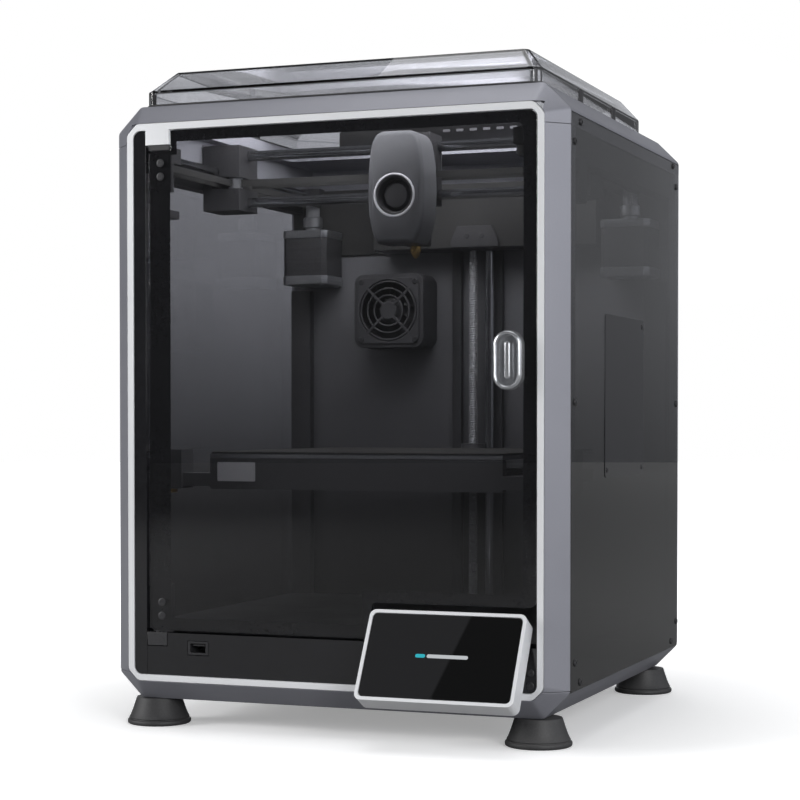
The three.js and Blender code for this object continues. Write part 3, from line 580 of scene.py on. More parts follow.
# Screw thread: the radius falls and rises with a cosine of height over pitch less the angle.
def threadShape(centre, radius, depth, low, high, pitch):
    across = 24
    rows = int((high - low) / (pitch / 5)) + 1
    turn = np.linspace(0, 2 * math.pi, across, endpoint=False)
    height = np.linspace(low, high, rows)
    grid, around = np.meshgrid(height, turn, indexing="ij")
    wave = 0.5 + 0.5 * np.cos(2 * math.pi * grid / pitch - around)
    reach = radius - depth * wave
    points = np.stack([centre[0] + reach * np.cos(around), centre[1] + reach * np.sin(around), grid], -1)
    return points.reshape(-1, 3), gridFaces(rows, across) + endFaces(rows, across)


# Fan blade: chord from leading to trailing edge, twisted and cambered, thick by a sine along the chord.
def bladeShape(centre, hub, tip, start, sweep, low, high, thickness):
    radial = np.linspace(hub, tip, 9)
    chord = np.linspace(0, 1, 9)
    r, c = np.meshgrid(radial, chord, indexing="ij")
    lean = 0.35 * ((r - hub) / (tip - hub)) ** 1.4
    around = start + sweep * (c - 0.5) - lean
    level = low + (high - low) * (c + 0.10 * np.sin(math.pi * c))
    half = thickness * (0.35 + 0.65 * np.sin(math.pi * np.clip(c, 0.04, 0.96)))
    top, bottom = level + half, level - half
    loop = [np.stack([centre[0] + r * np.cos(around), side, centre[1] + r * np.sin(around)], -1)
            for side in (top, bottom)]
    section = np.concatenate([loop[0], loop[1][:, ::-1]], 1)
    count = section.shape[1]
    return section.reshape(-1, 3), gridFaces(len(radial), count) + endFaces(len(radial), count)


# Toothed belt as a closed band: outside smooth, inside stepped by a squared sine along the run.
def toothedBand(centreX, lowY, highY, radius, thick, low, high, pitch=0.002):
    run = highY - lowY
    total = 2 * run + 2 * math.pi * radius
    count = int(total / pitch) * 4
    s = np.linspace(0, total, count, endpoint=False)
    arc = math.pi * radius
    angle = np.where(s < run, 0, np.where(s < run + arc, (s - run) / radius,
             np.where(s < 2 * run + arc, math.pi, math.pi + (s - 2 * run - arc) / radius)))
    along = np.where(s < run, lowY + s, np.where(s < run + arc, highY,
             np.where(s < 2 * run + arc, highY - (s - run - arc), lowY)))
    spoke = np.stack([np.cos(angle), np.sin(angle)], 1)
    base = np.stack([np.full(count, centreX), along], 1)
    tooth = np.where(np.arange(count) % 4 < 2, thick, thick * 0.45)[:, None]
    outer = base + spoke * (radius + thick * 0.5)
    inner = base + spoke * (radius + thick * 0.5 - tooth)
    rings = [lift(outer, low, "z"), lift(outer, high, "z"), lift(inner, high, "z"), lift(inner, low, "z")]
    return np.concatenate(rings), gridFaces(4, count, closeRows=True)


# ---- pieces

def finishMesh(mesh, smoothAngle):
    work = bmesh.new()
    work.from_mesh(mesh)
    bmesh.ops.remove_doubles(work, verts=work.verts, dist=2e-6)
    bmesh.ops.recalc_face_normals(work, faces=work.faces)
    work.to_mesh(mesh)
    work.free()
    mesh.shade_smooth()
    mesh.set_sharp_from_angle(angle=math.radians(smoothAngle))


def addBevel(piece, width, segments, angle=32):
    bevel = piece.modifiers.new("edge", "BEVEL")
    bevel.width = width
    bevel.segments = segments
    bevel.limit_method = "ANGLE"
    bevel.angle_limit = math.radians(angle)
    bevel.harden_normals = True


def makePiece(name, shapes, body, finish, replaces=(), smoothAngle=38):
    points, faces, start = [], [], 0
    for shapePoints, shapeFaces in shapes:
        points.append(shapePoints)
        faces += [[start + k for k in face] for face in shapeFaces]
        start += len(shapePoints)
    mesh = bpy.data.meshes.new(name)
    mesh.from_pydata(np.concatenate(points).tolist(), [], faces)
    finishMesh(mesh, smoothAngle)
    mesh.materials.append(finishes[finish])
    piece = bpy.data.objects.new(name, mesh)
    bpy.context.scene.collection.objects.link(piece)
    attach(piece, body)
    if replaces:
        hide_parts(*replaces)
    return piece


# A CAD node's own shape, welded, its flat faces joined, and its edges rounded.
def roundedCopy(name, node, width, segments=2, finish=None, angle=32):
    mesh = frame["nodes"][node].data.copy()
    mesh.name = name
    work = bmesh.new()
    work.from_mesh(mesh)
    bmesh.ops.remove_doubles(work, verts=work.verts, dist=1e-5)
    bmesh.ops.dissolve_limit(work, angle_limit=math.radians(0.6), verts=work.verts, edges=work.edges)
    work.to_mesh(mesh)
    work.free()
    mesh.shade_smooth()
    mesh.set_sharp_from_angle(angle=math.radians(angle))
    if finish:
        mesh.materials.clear()
        mesh.materials.append(finishes[finish])
    piece = bpy.data.objects.new(name, mesh)
    bpy.context.scene.collection.objects.link(piece)
    addBevel(piece, width, segments, angle)
    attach(piece, bodyOf[node])
    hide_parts(node)
    return piece


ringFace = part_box("front_ring")[0].y


# Depth in the object's frame of a distance behind the front ring's face.
def behind(distance):
    return ringFace + distance


# Middle of a node's box in the two directions across an axis.
def middleOf(node, axis):
    low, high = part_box(node)
    return tuple((low[k] + high[k]) / 2 for k in range(3) if k != "xyz".index(axis))


# Button-head screws that share one face: each place is the two coordinates across the axis.
def addScrews(name, places, level, out, size, axis, body="root"):
    heads = [screwHead(place, level, out, *size, axis) for place in places]
    makePiece(name, heads, body, "blackSteel")


# The same block on both sides of the machine's middle.
def twinBlocks(inner, outer, depths, levels, edge):
    return [softBlock(min(side * inner, side * outer), max(side * inner, side * outer), behind(depths[0]),
                      behind(depths[1]), *levels, edge) for side in (-1, 1)]


sides = ((-1, "left"), (1, "right"))


# ---- casing: frame castings, posts, ring, panels and deck

casingEdges = {
    "top_frame": 0.0007, "bottom_frame": 0.0007, "front_ring": 0.0007,
    "post_front_left": 0.0006, "post_front_right": 0.0006,
    "post_rear_left": 0.0006, "post_rear_right": 0.0006,
    "side_panel_left": 0.0004, "side_panel_right": 0.0004, "rear_panel": 0.0004,
    "lower_front_panel": 0.0003, "floor_deck": 0.0004, "rear_wall": 0.0005,
}
for node, width in casingEdges.items():
    roundedCopy(node + "_edged", node, width, finish="innerWallPaintedShade" if node == "rear_wall" else None)

# Edge steps are (inset, height from the floor); groove steps are (inset, height from the lip).
footShape = {
    "base": 0.0240, "neck": 0.0175, "lip": 0.0034, "height": 0.0202, "shoulder": 0.0012, "power": 0.8,
    "flankStart": 0.0016, "flankTrim": 0.003, "chamfer": 0.0006, "flankSteps": 10, "around": 72,
    "edge": [(0.0035, 0.0), (0.0012, 0.0001), (0.0003, 0.0006), (0.0, 0.0014)],
    "groove": [(0.0, -0.0006), (0.0004, 0.0001), (0.0016, 0.0005), (0.0018, 0.0010)],
}


# Rubber foot: a round lip, a shallow groove, then a flank that falls in with height to the power 0.8.
def footProfile():
    base, neck, lip = footShape["base"], footShape["neck"], footShape["lip"]
    shoulder = base - footShape["shoulder"]
    run = footShape["height"] - footShape["flankTrim"] - lip
    points = [(base - inset, level) for inset, level in footShape["edge"]]
    points += [(base - inset, lip + level) for inset, level in footShape["groove"]]
    points += [(shoulder - (shoulder - neck) * rise ** footShape["power"],
                lip + footShape["flankStart"] + run * rise)
               for rise in np.linspace(0.0, 1.0, footShape["flankSteps"])]
    return points + [(neck - footShape["chamfer"], footShape["height"])]


for node in ("foot_front_left", "foot_front_right", "foot_rear_left", "foot_rear_right"):
    foot = turnedShape(footProfile(), middleOf(node, "z"), "z", footShape["around"])
    makePiece(node + "_rubber", [foot], "root", "footRubber", (node,))

# Places are (distance behind the ring's face, height); size is (radius, height) of a head.
sideScrews = {
    "places": [(0.0399, 0.4407), (0.0248, 0.4254), (0.3184, 0.4423), (0.3294, 0.4260), (0.0261, 0.2432),
               (0.3319, 0.2438), (0.0274, 0.0597), (0.0402, 0.0447), (0.3165, 0.0450), (0.3344, 0.0601)],
    "size": (0.0027, 0.0010),
}
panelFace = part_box("side_panel_right")[1].x
for side, word in sides:
    addScrews(f"side_screws_{word}", [(behind(depth), height) for depth, height in sideScrews["places"]],
              panelFace * side, side, sideScrews["size"], "x")

accessPlate = {
    "front": 0.105, "back": 0.219, "low": 0.188, "high": 0.309, "corner": 0.003,
    "gap": 0.00005, "thick": 0.0004, "edge": 0.00015, "screwSize": (0.0019, 0.0005),
    "screws": [(0.2135, 0.3035), (0.1105, 0.1935), (0.2135, 0.1935)],
}
plateOutline = roundedOutline(behind(accessPlate["front"]), behind(accessPlate["back"]),
                              accessPlate["low"], accessPlate["high"], accessPlate["corner"])
plateTop = panelFace + accessPlate["thick"]
makePiece("access_plate", [softPlate(plateOutline, panelFace + accessPlate["gap"], plateTop,
                                     accessPlate["edge"], "x")],
          "root", "smokedPlate", smoothAngle=12)
addScrews("access_plate_screws", [(behind(depth), height) for depth, height in accessPlate["screws"]],
          plateTop, 1, accessPlate["screwSize"], "x")
print("casing done")

# ---- door

doorFrame = {"left": -0.1446, "right": 0.1571, "bottom": 0.0739, "top": 0.4452,
             "stepX": 0.034, "stepZ": 0.0998, "notchX": -0.1267, "notchZ": 0.4306}
clearArea = {"left": -0.128, "right": 0.147, "bottom": 0.083, "top": 0.4372,
             "stepX": 0.026, "stepZ": 0.1085, "notchX": -0.1225, "notchZ": 0.4275}
borderSet = {"front": 0.00382, "back": 0.00402, "edge": 0.00004, "outerCorner": 0.006, "innerCorner": 0.005}


# The door's outline: a rectangle with a step over the screen and a notch under the hinge block.
def doorOutline(size, radius):
    corners = [((size["stepX"] - radius, size["bottom"] + radius), -90, 0),
               ((size["right"] - radius, size["stepZ"] + radius), -90, 0),
               ((size["right"] - radius, size["top"] - radius), 0, 90)]
    points = [np.array([[size["left"], size["bottom"]]])]
    for (cx, cz), first, last in corners:
        turn = np.radians(np.linspace(first, last, 7))
        points.append(np.stack([cx + radius * np.cos(turn), cz + radius * np.sin(turn)], 1))
        if cz < size["stepZ"]:
            points.append(np.array([[size["stepX"], size["stepZ"]]]))
    points.append(np.array([[size["notchX"], size["top"]], [size["notchX"], size["notchZ"]],
                            [size["left"], size["notchZ"]]]))
    return np.concatenate(points)


roundedCopy("door_pane", "door_glass", 0.0005, 3)
makePiece("door_printed_border", [ringShape(
    doorOutline(doorFrame, borderSet["outerCorner"]), doorOutline(clearArea, borderSet["innerCorner"]),
    behind(borderSet["front"]), behind(borderSet["back"]), "y", borderSet["edge"])],
    "door", "panelBorder")
for node in ("door_hinge_top", "door_hinge_bottom", "hinge_block_bottom"):
    roundedCopy(node + "_edged", node, 0.0004)
hingeScrews = {"places": [(-0.1350, 0.4214), (-0.1350, 0.4114), (-0.1345, 0.0947), (-0.1345, 0.0845)],
               "depth": 0.0003, "size": (0.0030, 0.0004)}
addScrews("door_hinge_screws", hingeScrews["places"], behind(hingeScrews["depth"]), -1, hingeScrews["size"],
          "y", "door")

# Pull: a rim carried round a pill, (inset from the outline, distance in front of the glass), and a grip bar.
pull = {"rim": [(0.0, 0.0), (0.0, 0.0056), (0.0004, 0.0074), (0.0012, 0.0083), (0.0020, 0.0085),
                (0.0028, 0.0080), (0.0033, 0.0070), (0.0036, 0.0050), (0.0037, 0.0018)],
        "gripHalf": 0.0023, "gripTrim": 0.0075, "gripFront": 0.0076, "gripBack": 0.0016, "gripEdge": 0.0014,
        "roundGap": 0.0001}
low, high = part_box("door_handle")
pill = roundedOutline(low.x, high.x, low.z, high.z, (high.x - low.x) / 2 - pull["roundGap"], 12)
middleX = (low.x + high.x) / 2
grip = roundedOutline(middleX - pull["gripHalf"], middleX + pull["gripHalf"], low.z + pull["gripTrim"],
                      high.z - pull["gripTrim"], pull["gripHalf"] - pull["roundGap"], 8)
makePiece("door_pull", [
    layeredShape([(insetOutline(pill, inset), high.y - front) for inset, front in pull["rim"]], "y"),
    softPlate(grip, high.y - pull["gripFront"], high.y - pull["gripBack"], pull["gripEdge"], "y", 4)],
    "door", "pullSilver", ("door_handle",))
print("door done")

# ---- screen: drawn face-on, then leaned back and set in place

screenSet = {"lean": 29.5, "left": 0.0362, "reach": 0.040, "bottom": 0.036, "width": 0.117, "length": 0.069,
             "trim": 0.0028, "corner": 0.0032, "glassFront": 0.0003, "glassBack": 0.0027, "glassEdge": 0.0004}
loadingBar = {"left": 0.0400, "right": 0.0790, "low": 0.0335, "high": 0.0362, "share": 0.22, "gap": 0.0012,
              "corner": 0.0013, "front": 0.00022, "back": 0.0004, "edge": 0.00005}


# Turns a face-on shape (x across, y into the screen, z up its face) about x and moves it to its place.
def leanedShape(shape):
    points, faces = shape
    lean = math.radians(screenSet["lean"])
    x = points[:, 0] + screenSet["left"]
    y = points[:, 1] * math.cos(lean) + points[:, 2] * math.sin(lean) + behind(-screenSet["reach"])
    z = points[:, 2] * math.cos(lean) - points[:, 1] * math.sin(lean) + screenSet["bottom"]
    return np.stack([x, y, z], 1), faces


roundedCopy("screen_housing_edged", "screen_housing", 0.0010, 3)
trim = screenSet["trim"]
glassOutline = roundedOutline(trim, screenSet["width"] - trim, trim, screenSet["length"] - trim,
                              screenSet["corner"], 6)
glassPane = softPlate(glassOutline, screenSet["glassFront"], screenSet["glassBack"], screenSet["glassEdge"], "y")
makePiece("screen_pane", [leanedShape(glassPane)], "root", "screenDisplay", ("screen_glass",), 12)
split = loadingBar["left"] + (loadingBar["right"] - loadingBar["left"]) * loadingBar["share"]
for word, finish, x0, x1 in (("done", "barCyan", loadingBar["left"], split - loadingBar["gap"]),
                             ("rest", "barWhite", split, loadingBar["right"])):
    bar = roundedOutline(x0, x1, loadingBar["low"], loadingBar["high"], loadingBar["corner"], 5)
    makePiece(f"screen_bar_{word}", [leanedShape(softPlate(
        bar, loadingBar["front"], loadingBar["back"], loadingBar["edge"], "y"))], "root", finish)

recess = {"holes": [(0.153, 0.0545), (0.153, 0.0454)], "depth": 0.0015, "size": (0.0026, 0.0006)}
addScrews("recess_screws", recess["holes"], behind(recess["depth"]), -1, recess["size"], "y")
roundedCopy("usb_socket_edged", "usb_socket", 0.0004, finish="blackSteel")
print("screen done")

# ---- lid

roundedCopy("lid_hood", "lid", 0.0008, 3, angle=18)
lidLow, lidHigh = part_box("lid")


# The lid's plan: a rectangle with small cuts at the front corners and wide ones at the back.
def lidPlan(inset, frontCut=0.005, backCut=0.033):
    x0, x1, y0, y1 = lidLow.x + inset, lidHigh.x - inset, lidLow.y + inset, lidHigh.y - inset
    return np.array([(x1 - frontCut, y0), (x1, y0 + frontCut), (x1, y1 - backCut), (x1 - backCut, y1),
                     (x0 + backCut, y1), (x0, y1 - backCut), (x0, y0 + frontCut), (x0 + frontCut, y0)])


gasket = {"outset": 0.0004, "inset": 0.0036, "low": 0.4661, "high": 0.4675, "edge": 0.0003}
makePiece("lid_gasket", [ringShape(lidPlan(-gasket["outset"]), lidPlan(gasket["inset"]), gasket["low"],
                                   gasket["high"], "z", gasket["edge"])], "lid", "mouldedBlack")
lidClips = {"depths": (0.112, 0.205), "length": 0.009, "half": 0.0012, "levels": (0.4665, 0.4765)}
clips = [softBlock(side * lidHigh.x - lidClips["half"], side * lidHigh.x + lidClips["half"], behind(depth),
                   behind(depth + lidClips["length"]), *lidClips["levels"], 0.0005, "x")
         for side in (-1, 1) for depth in lidClips["depths"]]
makePiece("lid_clips", clips, "lid", "mouldedBlack")
lidPosts = twinBlocks(0.1490, 0.1512, (0.0185, 0.0205), (0.4668, 0.4765), 0.0004)
makePiece("lid_corner_posts", lidPosts, "lid", "mouldedBlack")
rearStrip = {"half": 0.122, "depths": (0.3135, 0.3150), "levels": (0.4668, 0.4850), "edge": 0.0004, "tabs": 6,
             "tabPitch": 0.0122, "tabShift": 0.0095, "tabHalf": 0.0032, "tabDepths": (0.3125, 0.3138),
             "tabLevels": (0.4800, 0.4822)}


# A block of the lid's rear strip between two depths and two levels.
def stripBlock(x0, x1, depths, levels):
    return softBlock(x0, x1, behind(depths[0]), behind(depths[1]), *levels, rearStrip["edge"])


makePiece("lid_rear_strip", [stripBlock(-rearStrip["half"], rearStrip["half"], rearStrip["depths"],
                                        rearStrip["levels"])], "lid", "mouldedBlack")
# Pale tabs at the lid's rear vents are painted light: they stand in for glints of light through the slots.
tabX = (np.arange(rearStrip["tabs"]) - (rearStrip["tabs"] - 1) / 2) * rearStrip["tabPitch"]
makePiece("lid_painted_glint_tabs", [stripBlock(x - rearStrip["tabHalf"], x + rearStrip["tabHalf"],
                                       rearStrip["tabDepths"], rearStrip["tabLevels"])
                            for x in tabX + rearStrip["tabShift"]], "lid", "paleLabelAndGlint")
print("lid done")

# ---- gantry and tool head

rodChamfer = 0.0008


# A plain round rod along one axis with chamfered ends, in place of a CAD bar.
def turnedRod(node, axis):
    low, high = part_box(node)
    index = "xyz".index(axis)
    across = (index + 1) % 3
    radius = (high[across] - low[across]) / 2
    first, last = low[index], high[index]
    profile = [(radius - rodChamfer, first), (radius, first + rodChamfer), (radius, last - rodChamfer),
               (radius - rodChamfer, last)]
    makePiece(node + "_ground", [turnedShape(profile, middleOf(node, axis), axis, 48)], bodyOf[node],
              "polishedSteel", (node,))


for node, axis in (("cross_rod_upper", "x"), ("cross_rod_lower", "x"), ("side_rod_left", "y"),
                   ("side_rod_right", "y")):
    turnedRod(node, axis)
for node in ("side_rail_left", "side_rail_right", "side_carriage_left", "side_carriage_right", "tool_carriage"):
    roundedCopy(node + "_edged", node, 0.0006)

beltSet = {"thick": 0.0013, "height": 0.005, "low": 0.4175, "depths": (0.128, 0.1475), "reach": 0.129,
           "loopMargin": 0.001, "loopSink": 0.0002, "loopThick": 0.0012, "step": 0.0005, "root": 0.45}
for side, word in sides:
    low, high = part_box(f"drive_belt_{word}")
    radius = (high.x - low.x) / 2 - beltSet["loopMargin"]
    run = radius + beltSet["loopMargin"]
    band = toothedBand((low.x + high.x) / 2, low.y + run, high.y - run, radius - beltSet["loopSink"],
                       beltSet["loopThick"], low.z, high.z)
    makePiece(f"drive_belt_{word}_toothed", [band], "root", "beltRubber", (f"drive_belt_{word}",))


# Straight toothed belt across the machine: one side flat, the other stepped every half pitch.
def straightBelt(x0, x1, depth, low, high, thick):
    count = int((x1 - x0) / beltSet["step"])
    x = np.linspace(x0, x1, count)
    tooth = np.where(np.arange(count) % 4 < 2, thick, thick * beltSet["root"])
    y0, bottom, top = np.full(count, behind(depth)), np.full(count, low), np.full(count, high)
    rings = [np.stack(row, 1) for row in ((x, y0, bottom), (x, y0, top), (x, y0 + tooth, top),
                                          (x, y0 + tooth, bottom))]
    faces = gridFaces(4, count, closeRows=True, closeColumns=False)
    faces += [[k * count for k in range(4)], [k * count + count - 1 for k in range(4)]]
    return np.concatenate(rings), faces


makePiece("cross_belts", [
    straightBelt(-beltSet["reach"], beltSet["reach"], depth, beltSet["low"], beltSet["low"] + beltSet["height"],
                 beltSet["thick"]) for depth in beltSet["depths"]], "gantry", "beltRubber")


# Belt wheel: flanges at both ends and teeth whose radius steps with the angle.
def beltWheel(centre, radius, low, high, teeth=20, flange=0.0011, rim=0.0008, notchDepth=0.93):
    steps = teeth * 4
    circle = unitCircle(steps)[1]
    toothed = circle * radius * np.where(np.arange(steps) % 4 < 2, 1.0, notchDepth)[:, None]
    wide = circle * (radius + flange)
    rows = [(wide, low), (wide, low + rim), (toothed, low + rim), (toothed, high - rim), (wide, high - rim),
            (wide, high)]
    return layeredShape([(flat + centre, level) for flat, level in rows], "z")


wheelSet = {"x": 0.1345, "depth": 0.129, "radius": 0.0046, "low": 0.4160, "high": 0.4242, "teeth": 16}
pulleySet = {"shaft": 0.0064, "shaftTop": 0.4002, "teethRadius": 0.0061, "teethLow": 0.4088, "teeth": 20,
             "flange": 0.0008, "hub": [(0.0078, 0.400), (0.0084, 0.4006), (0.0084, 0.4084), (0.0078, 0.409)]}
for side, word in sides:
    wheel = beltWheel((side * wheelSet["x"], behind(wheelSet["depth"])), wheelSet["radius"], wheelSet["low"],
                      wheelSet["high"], wheelSet["teeth"])
    makePiece(f"carriage_wheel_{word}", [wheel], "gantry", "machinedAluminium")
    low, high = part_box(f"drive_pulley_{word}")
    centre = middleOf(f"drive_pulley_{word}", "z")
    shaft = [(pulleySet["shaft"], low.z), (pulleySet["shaft"], pulleySet["shaftTop"])]
    makePiece(f"drive_pulley_{word}_turned", [
        turnedShape(shaft, centre, "z"), turnedShape(pulleySet["hub"], centre, "z"),
        beltWheel(centre, pulleySet["teethRadius"], pulleySet["teethLow"], high.z, pulleySet["teeth"],
                  pulleySet["flange"])],
        f"drive_rotor_{word}", "machinedAluminium", (f"drive_pulley_{word}",))

# The boss is a profile of (radius, height from the motor's underside).
motorSet = {"cut": 0.0042, "topCap": 0.007, "bottomCap": 0.008, "capEdge": 0.0008, "screwAt": 0.0155,
            "screwSize": (0.0026, 0.0008), "coreInset": 0.0006, "coreLap": 0.0005, "coreEdge": 0.0003,
            "boss": [(0.0108, -0.0006), (0.0112, -0.0002), (0.0112, 0.001)]}
for side, word in sides:
    node = f"drive_motor_{word}"
    low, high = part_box(node)
    cut, centre = motorSet["cut"], middleOf(node, "z")
    plan = np.array([(high.x - cut, high.y), (low.x + cut, high.y), (low.x, high.y - cut), (low.x, low.y + cut),
                     (low.x + cut, low.y), (high.x - cut, low.y), (high.x, low.y + cut), (high.x, high.y - cut)])
    capTop, capBottom = high.z - motorSet["topCap"], low.z + motorSet["bottomCap"]
    screws = [screwHead((centre[0] + sx * motorSet["screwAt"], centre[1] + sy * motorSet["screwAt"]), low.z, -1,
                        *motorSet["screwSize"], "z") for sx in (-1, 1) for sy in (-1, 1)]
    makePiece(node + "_caps", [
        softPlate(plan, capTop, high.z, motorSet["capEdge"], "z"),
        softPlate(plan, low.z, capBottom, motorSet["capEdge"], "z"),
        turnedShape([(radius, low.z + level) for radius, level in motorSet["boss"]], centre, "z")] + screws,
        "root", "machinedAluminium")
    core = softPlate(insetOutline(plan, motorSet["coreInset"]), capBottom - motorSet["coreLap"],
                     capTop + motorSet["coreLap"], motorSet["coreEdge"], "z")
    makePiece(node + "_core", [core], "root", "motorCore", (node,))

# Curves are one half of the cover's outline, each (first, control, last) point as (across, height).
coverSet = {
    "x": 0.017, "fanZ": 0.401, "front": 0.090, "back": 0.1213, "edge": 0.0042, "hole": 0.0152,
    "bulge": 0.0016, "steps": 128, "lip": 0.0020, "sideStart": 0.004, "turnIn": 0.0008, "turnBack": 0.0002,
    "curves": [((0.015, 0.365), (0.020, 0.372), (0.022, 0.386)),
               ((0.022, 0.386), (0.024, 0.415), (0.021, 0.433)),
               ((0.021, 0.433), (0.0195, 0.449), (0.011, 0.450))],
    "throat": [(0.0, 0.0138), (0.0, 0.0014), (0.0006, 0.0004), (0.0020, 0.0)],
}


# Curve of three points: (1 - t) squared of the first, 2t(1 - t) of the control, t squared of the last.
def bezier(first, control, last, count=24):
    t = np.linspace(0, 1, count)[:, None]
    return (1 - t) ** 2 * np.array(first) + 2 * t * (1 - t) * np.array(control) + t ** 2 * np.array(last)


# Tool cover: round the fan's centre the outline is a radius for each angle; rows run from the fan hole out
# over a slightly domed face, round the edge by a quarter circle, and back along the sides.
def toolCoverShape():
    half = np.concatenate([bezier(*curve) for curve in coverSet["curves"]])
    outline = np.concatenate([half, half[::-1] * (-1, 1)]) - (0, coverSet["fanZ"])
    dense = np.concatenate([outline + (np.roll(outline, -1, 0) - outline) * t for t in (0, 0.25, 0.5, 0.75)])
    angle = np.arctan2(dense[:, 1], dense[:, 0])
    order = np.argsort(angle)
    turn, circle = unitCircle(coverSet["steps"], -math.pi)
    reach = np.interp(turn, angle[order], np.linalg.norm(dense, axis=1)[order], period=2 * math.pi)
    hole, edge, front = coverSet["hole"], coverSet["edge"], coverSet["front"]
    rows = [(np.full_like(reach, hole + out), front + level) for out, level in coverSet["throat"]]
    faceStart = hole + coverSet["lip"]
    for share in np.linspace(0.12, 1.0, 8):
        rows.append((faceStart + (reach - edge - faceStart) * share, front + coverSet["bulge"] * share ** 2))
    start = front + coverSet["bulge"]
    for t in np.linspace(0.2, math.pi / 2, 7):
        rows.append((reach - edge + edge * math.sin(t), start + edge * (1 - math.cos(t))))
    for level in np.linspace(start + edge + coverSet["sideStart"], coverSet["back"], 4):
        rows.append((reach, level))
    rows.append((reach - coverSet["turnIn"], coverSet["back"] + coverSet["turnBack"]))
    middle = np.array((coverSet["x"], coverSet["fanZ"]))
    return layeredShape([(circle * radius[:, None] + middle, behind(level)) for radius, level in rows], "y")


toolCentre = (coverSet["x"], coverSet["fanZ"])
toolMiddle = (coverSet["x"], behind(0.1365))

# Profiles are (radius, distance behind the ring's face).
toolFan = {
    "ring": [(0.0150, 0.0914), (0.0150, 0.0902), (0.0153, 0.0897), (0.0159, 0.0895), (0.0164, 0.0896),
             (0.0168, 0.0900), (0.0168, 0.0908)],
    "throat": [(0.0149, 0.0925), (0.0150, 0.0908), (0.0146, 0.0900), (0.0136, 0.0904), (0.0128, 0.0918),
               (0.0122, 0.0950), (0.0121, 0.0990), (0.0132, 0.0990)],
    "hub": [(0.0002, 0.0930), (0.0064, 0.0932), (0.0090, 0.0939), (0.0097, 0.0950), (0.0097, 0.1020),
            (0.0002, 0.1020)],
    "blades": 9, "root": 0.0088, "tip": 0.0118, "sweep": 0.5, "depths": (0.0955, 0.1005), "thick": 0.0004,
}


# A turned profile about the tool head's fan axis, with its depths taken from the ring's face.
def toolTurned(profile, steps=96, closed=True):
    return turnedShape([(radius, behind(level)) for radius, level in profile], toolCentre, "y", steps, closed)


# Evenly spaced blades of a fan whose axis runs from front to back.
def fanBlades(centre, count, root, tip, sweep, low, high, thick):
    return [bladeShape(centre, root, tip, k * 2 * math.pi / count, sweep, low, high, thick)
            for k in range(count)]


makePiece("tool_cover_shell", [toolCoverShape()], "tool_head", "coverSatin", ("tool_cover",), 42)
makePiece("tool_fan_ring", [toolTurned(toolFan["ring"])], "tool_head", "fanRing")
makePiece("tool_fan_throat", [toolTurned(toolFan["throat"])], "tool_head", "mouldedBlack")
blades = fanBlades(toolCentre, toolFan["blades"], toolFan["root"], toolFan["tip"], toolFan["sweep"],
                   behind(toolFan["depths"][0]), behind(toolFan["depths"][1]), toolFan["thick"])
makePiece("tool_fan_rotor_bladed", [toolTurned(toolFan["hub"], 64, False)] + blades, "tool_fan_rotor",
          "mouldedBlack", ("tool_fan",))

finSet = {"first": 0.1235, "last": 0.148, "pitch": 0.0031, "width": 0.0014, "sink": 0.0003, "stand": 0.0007,
          "lift": 0.003, "trim": 0.006, "edge": 0.0003}
low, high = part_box("tool_carriage")
fins = [softBlock(x0, x1, behind(depth), behind(depth + finSet["width"]), low.z + finSet["lift"],
                  high.z - finSet["trim"], finSet["edge"])
        for x0, x1 in ((high.x - finSet["sink"], high.x + finSet["stand"]),
                       (low.x - finSet["stand"], low.x + finSet["sink"]))
        for depth in np.arange(finSet["first"], finSet["last"], finSet["pitch"])]
makePiece("tool_carriage_fins", fins, "tool_head", "mouldedBlack")
hotSet = {
    "inset": (0.0008, 0.0004), "first": 0.3812, "last": 0.3955, "pitch": 0.0025, "plate": 0.0012,
    "core": [(0.0042, 0.3780), (0.0042, 0.3965)], "sockHalf": 0.010, "sockDepths": (0.128, 0.146),
    "sockLevels": (0.366, 0.3782),
    "nozzle": [(0.0006, 0.3563), (0.0011, 0.3564), (0.0032, 0.3592), (0.0033, 0.3612), (0.0041, 0.3614),
               (0.0042, 0.3618), (0.0042, 0.3654), (0.0036, 0.3659)],
}
low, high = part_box("hotend")
insetX, insetY = hotSet["inset"]
sink = [softBlock(low.x + insetX, high.x - insetX, low.y + insetY, high.y - insetY, level,
                  level + hotSet["plate"], 0.0002, "z")
        for level in np.arange(hotSet["first"], hotSet["last"], hotSet["pitch"])]
sink.append(turnedShape(hotSet["core"], toolMiddle, "z", 32))
makePiece("hotend_sink", sink, "tool_head", "machinedAluminium", ("hotend",))
sock = softBlock(coverSet["x"] - hotSet["sockHalf"], coverSet["x"] + hotSet["sockHalf"],
                 behind(hotSet["sockDepths"][0]), behind(hotSet["sockDepths"][1]), *hotSet["sockLevels"], 0.0012)
makePiece("hotend_sock", [sock], "tool_head", "beltRubber")
makePiece("nozzle_turned", [turnedShape(hotSet["nozzle"], toolMiddle, "z", 48)], "tool_head",
          "nozzleBrass", ("nozzle",))
print("gantry and tool head done")

# ---- bed and lead screws

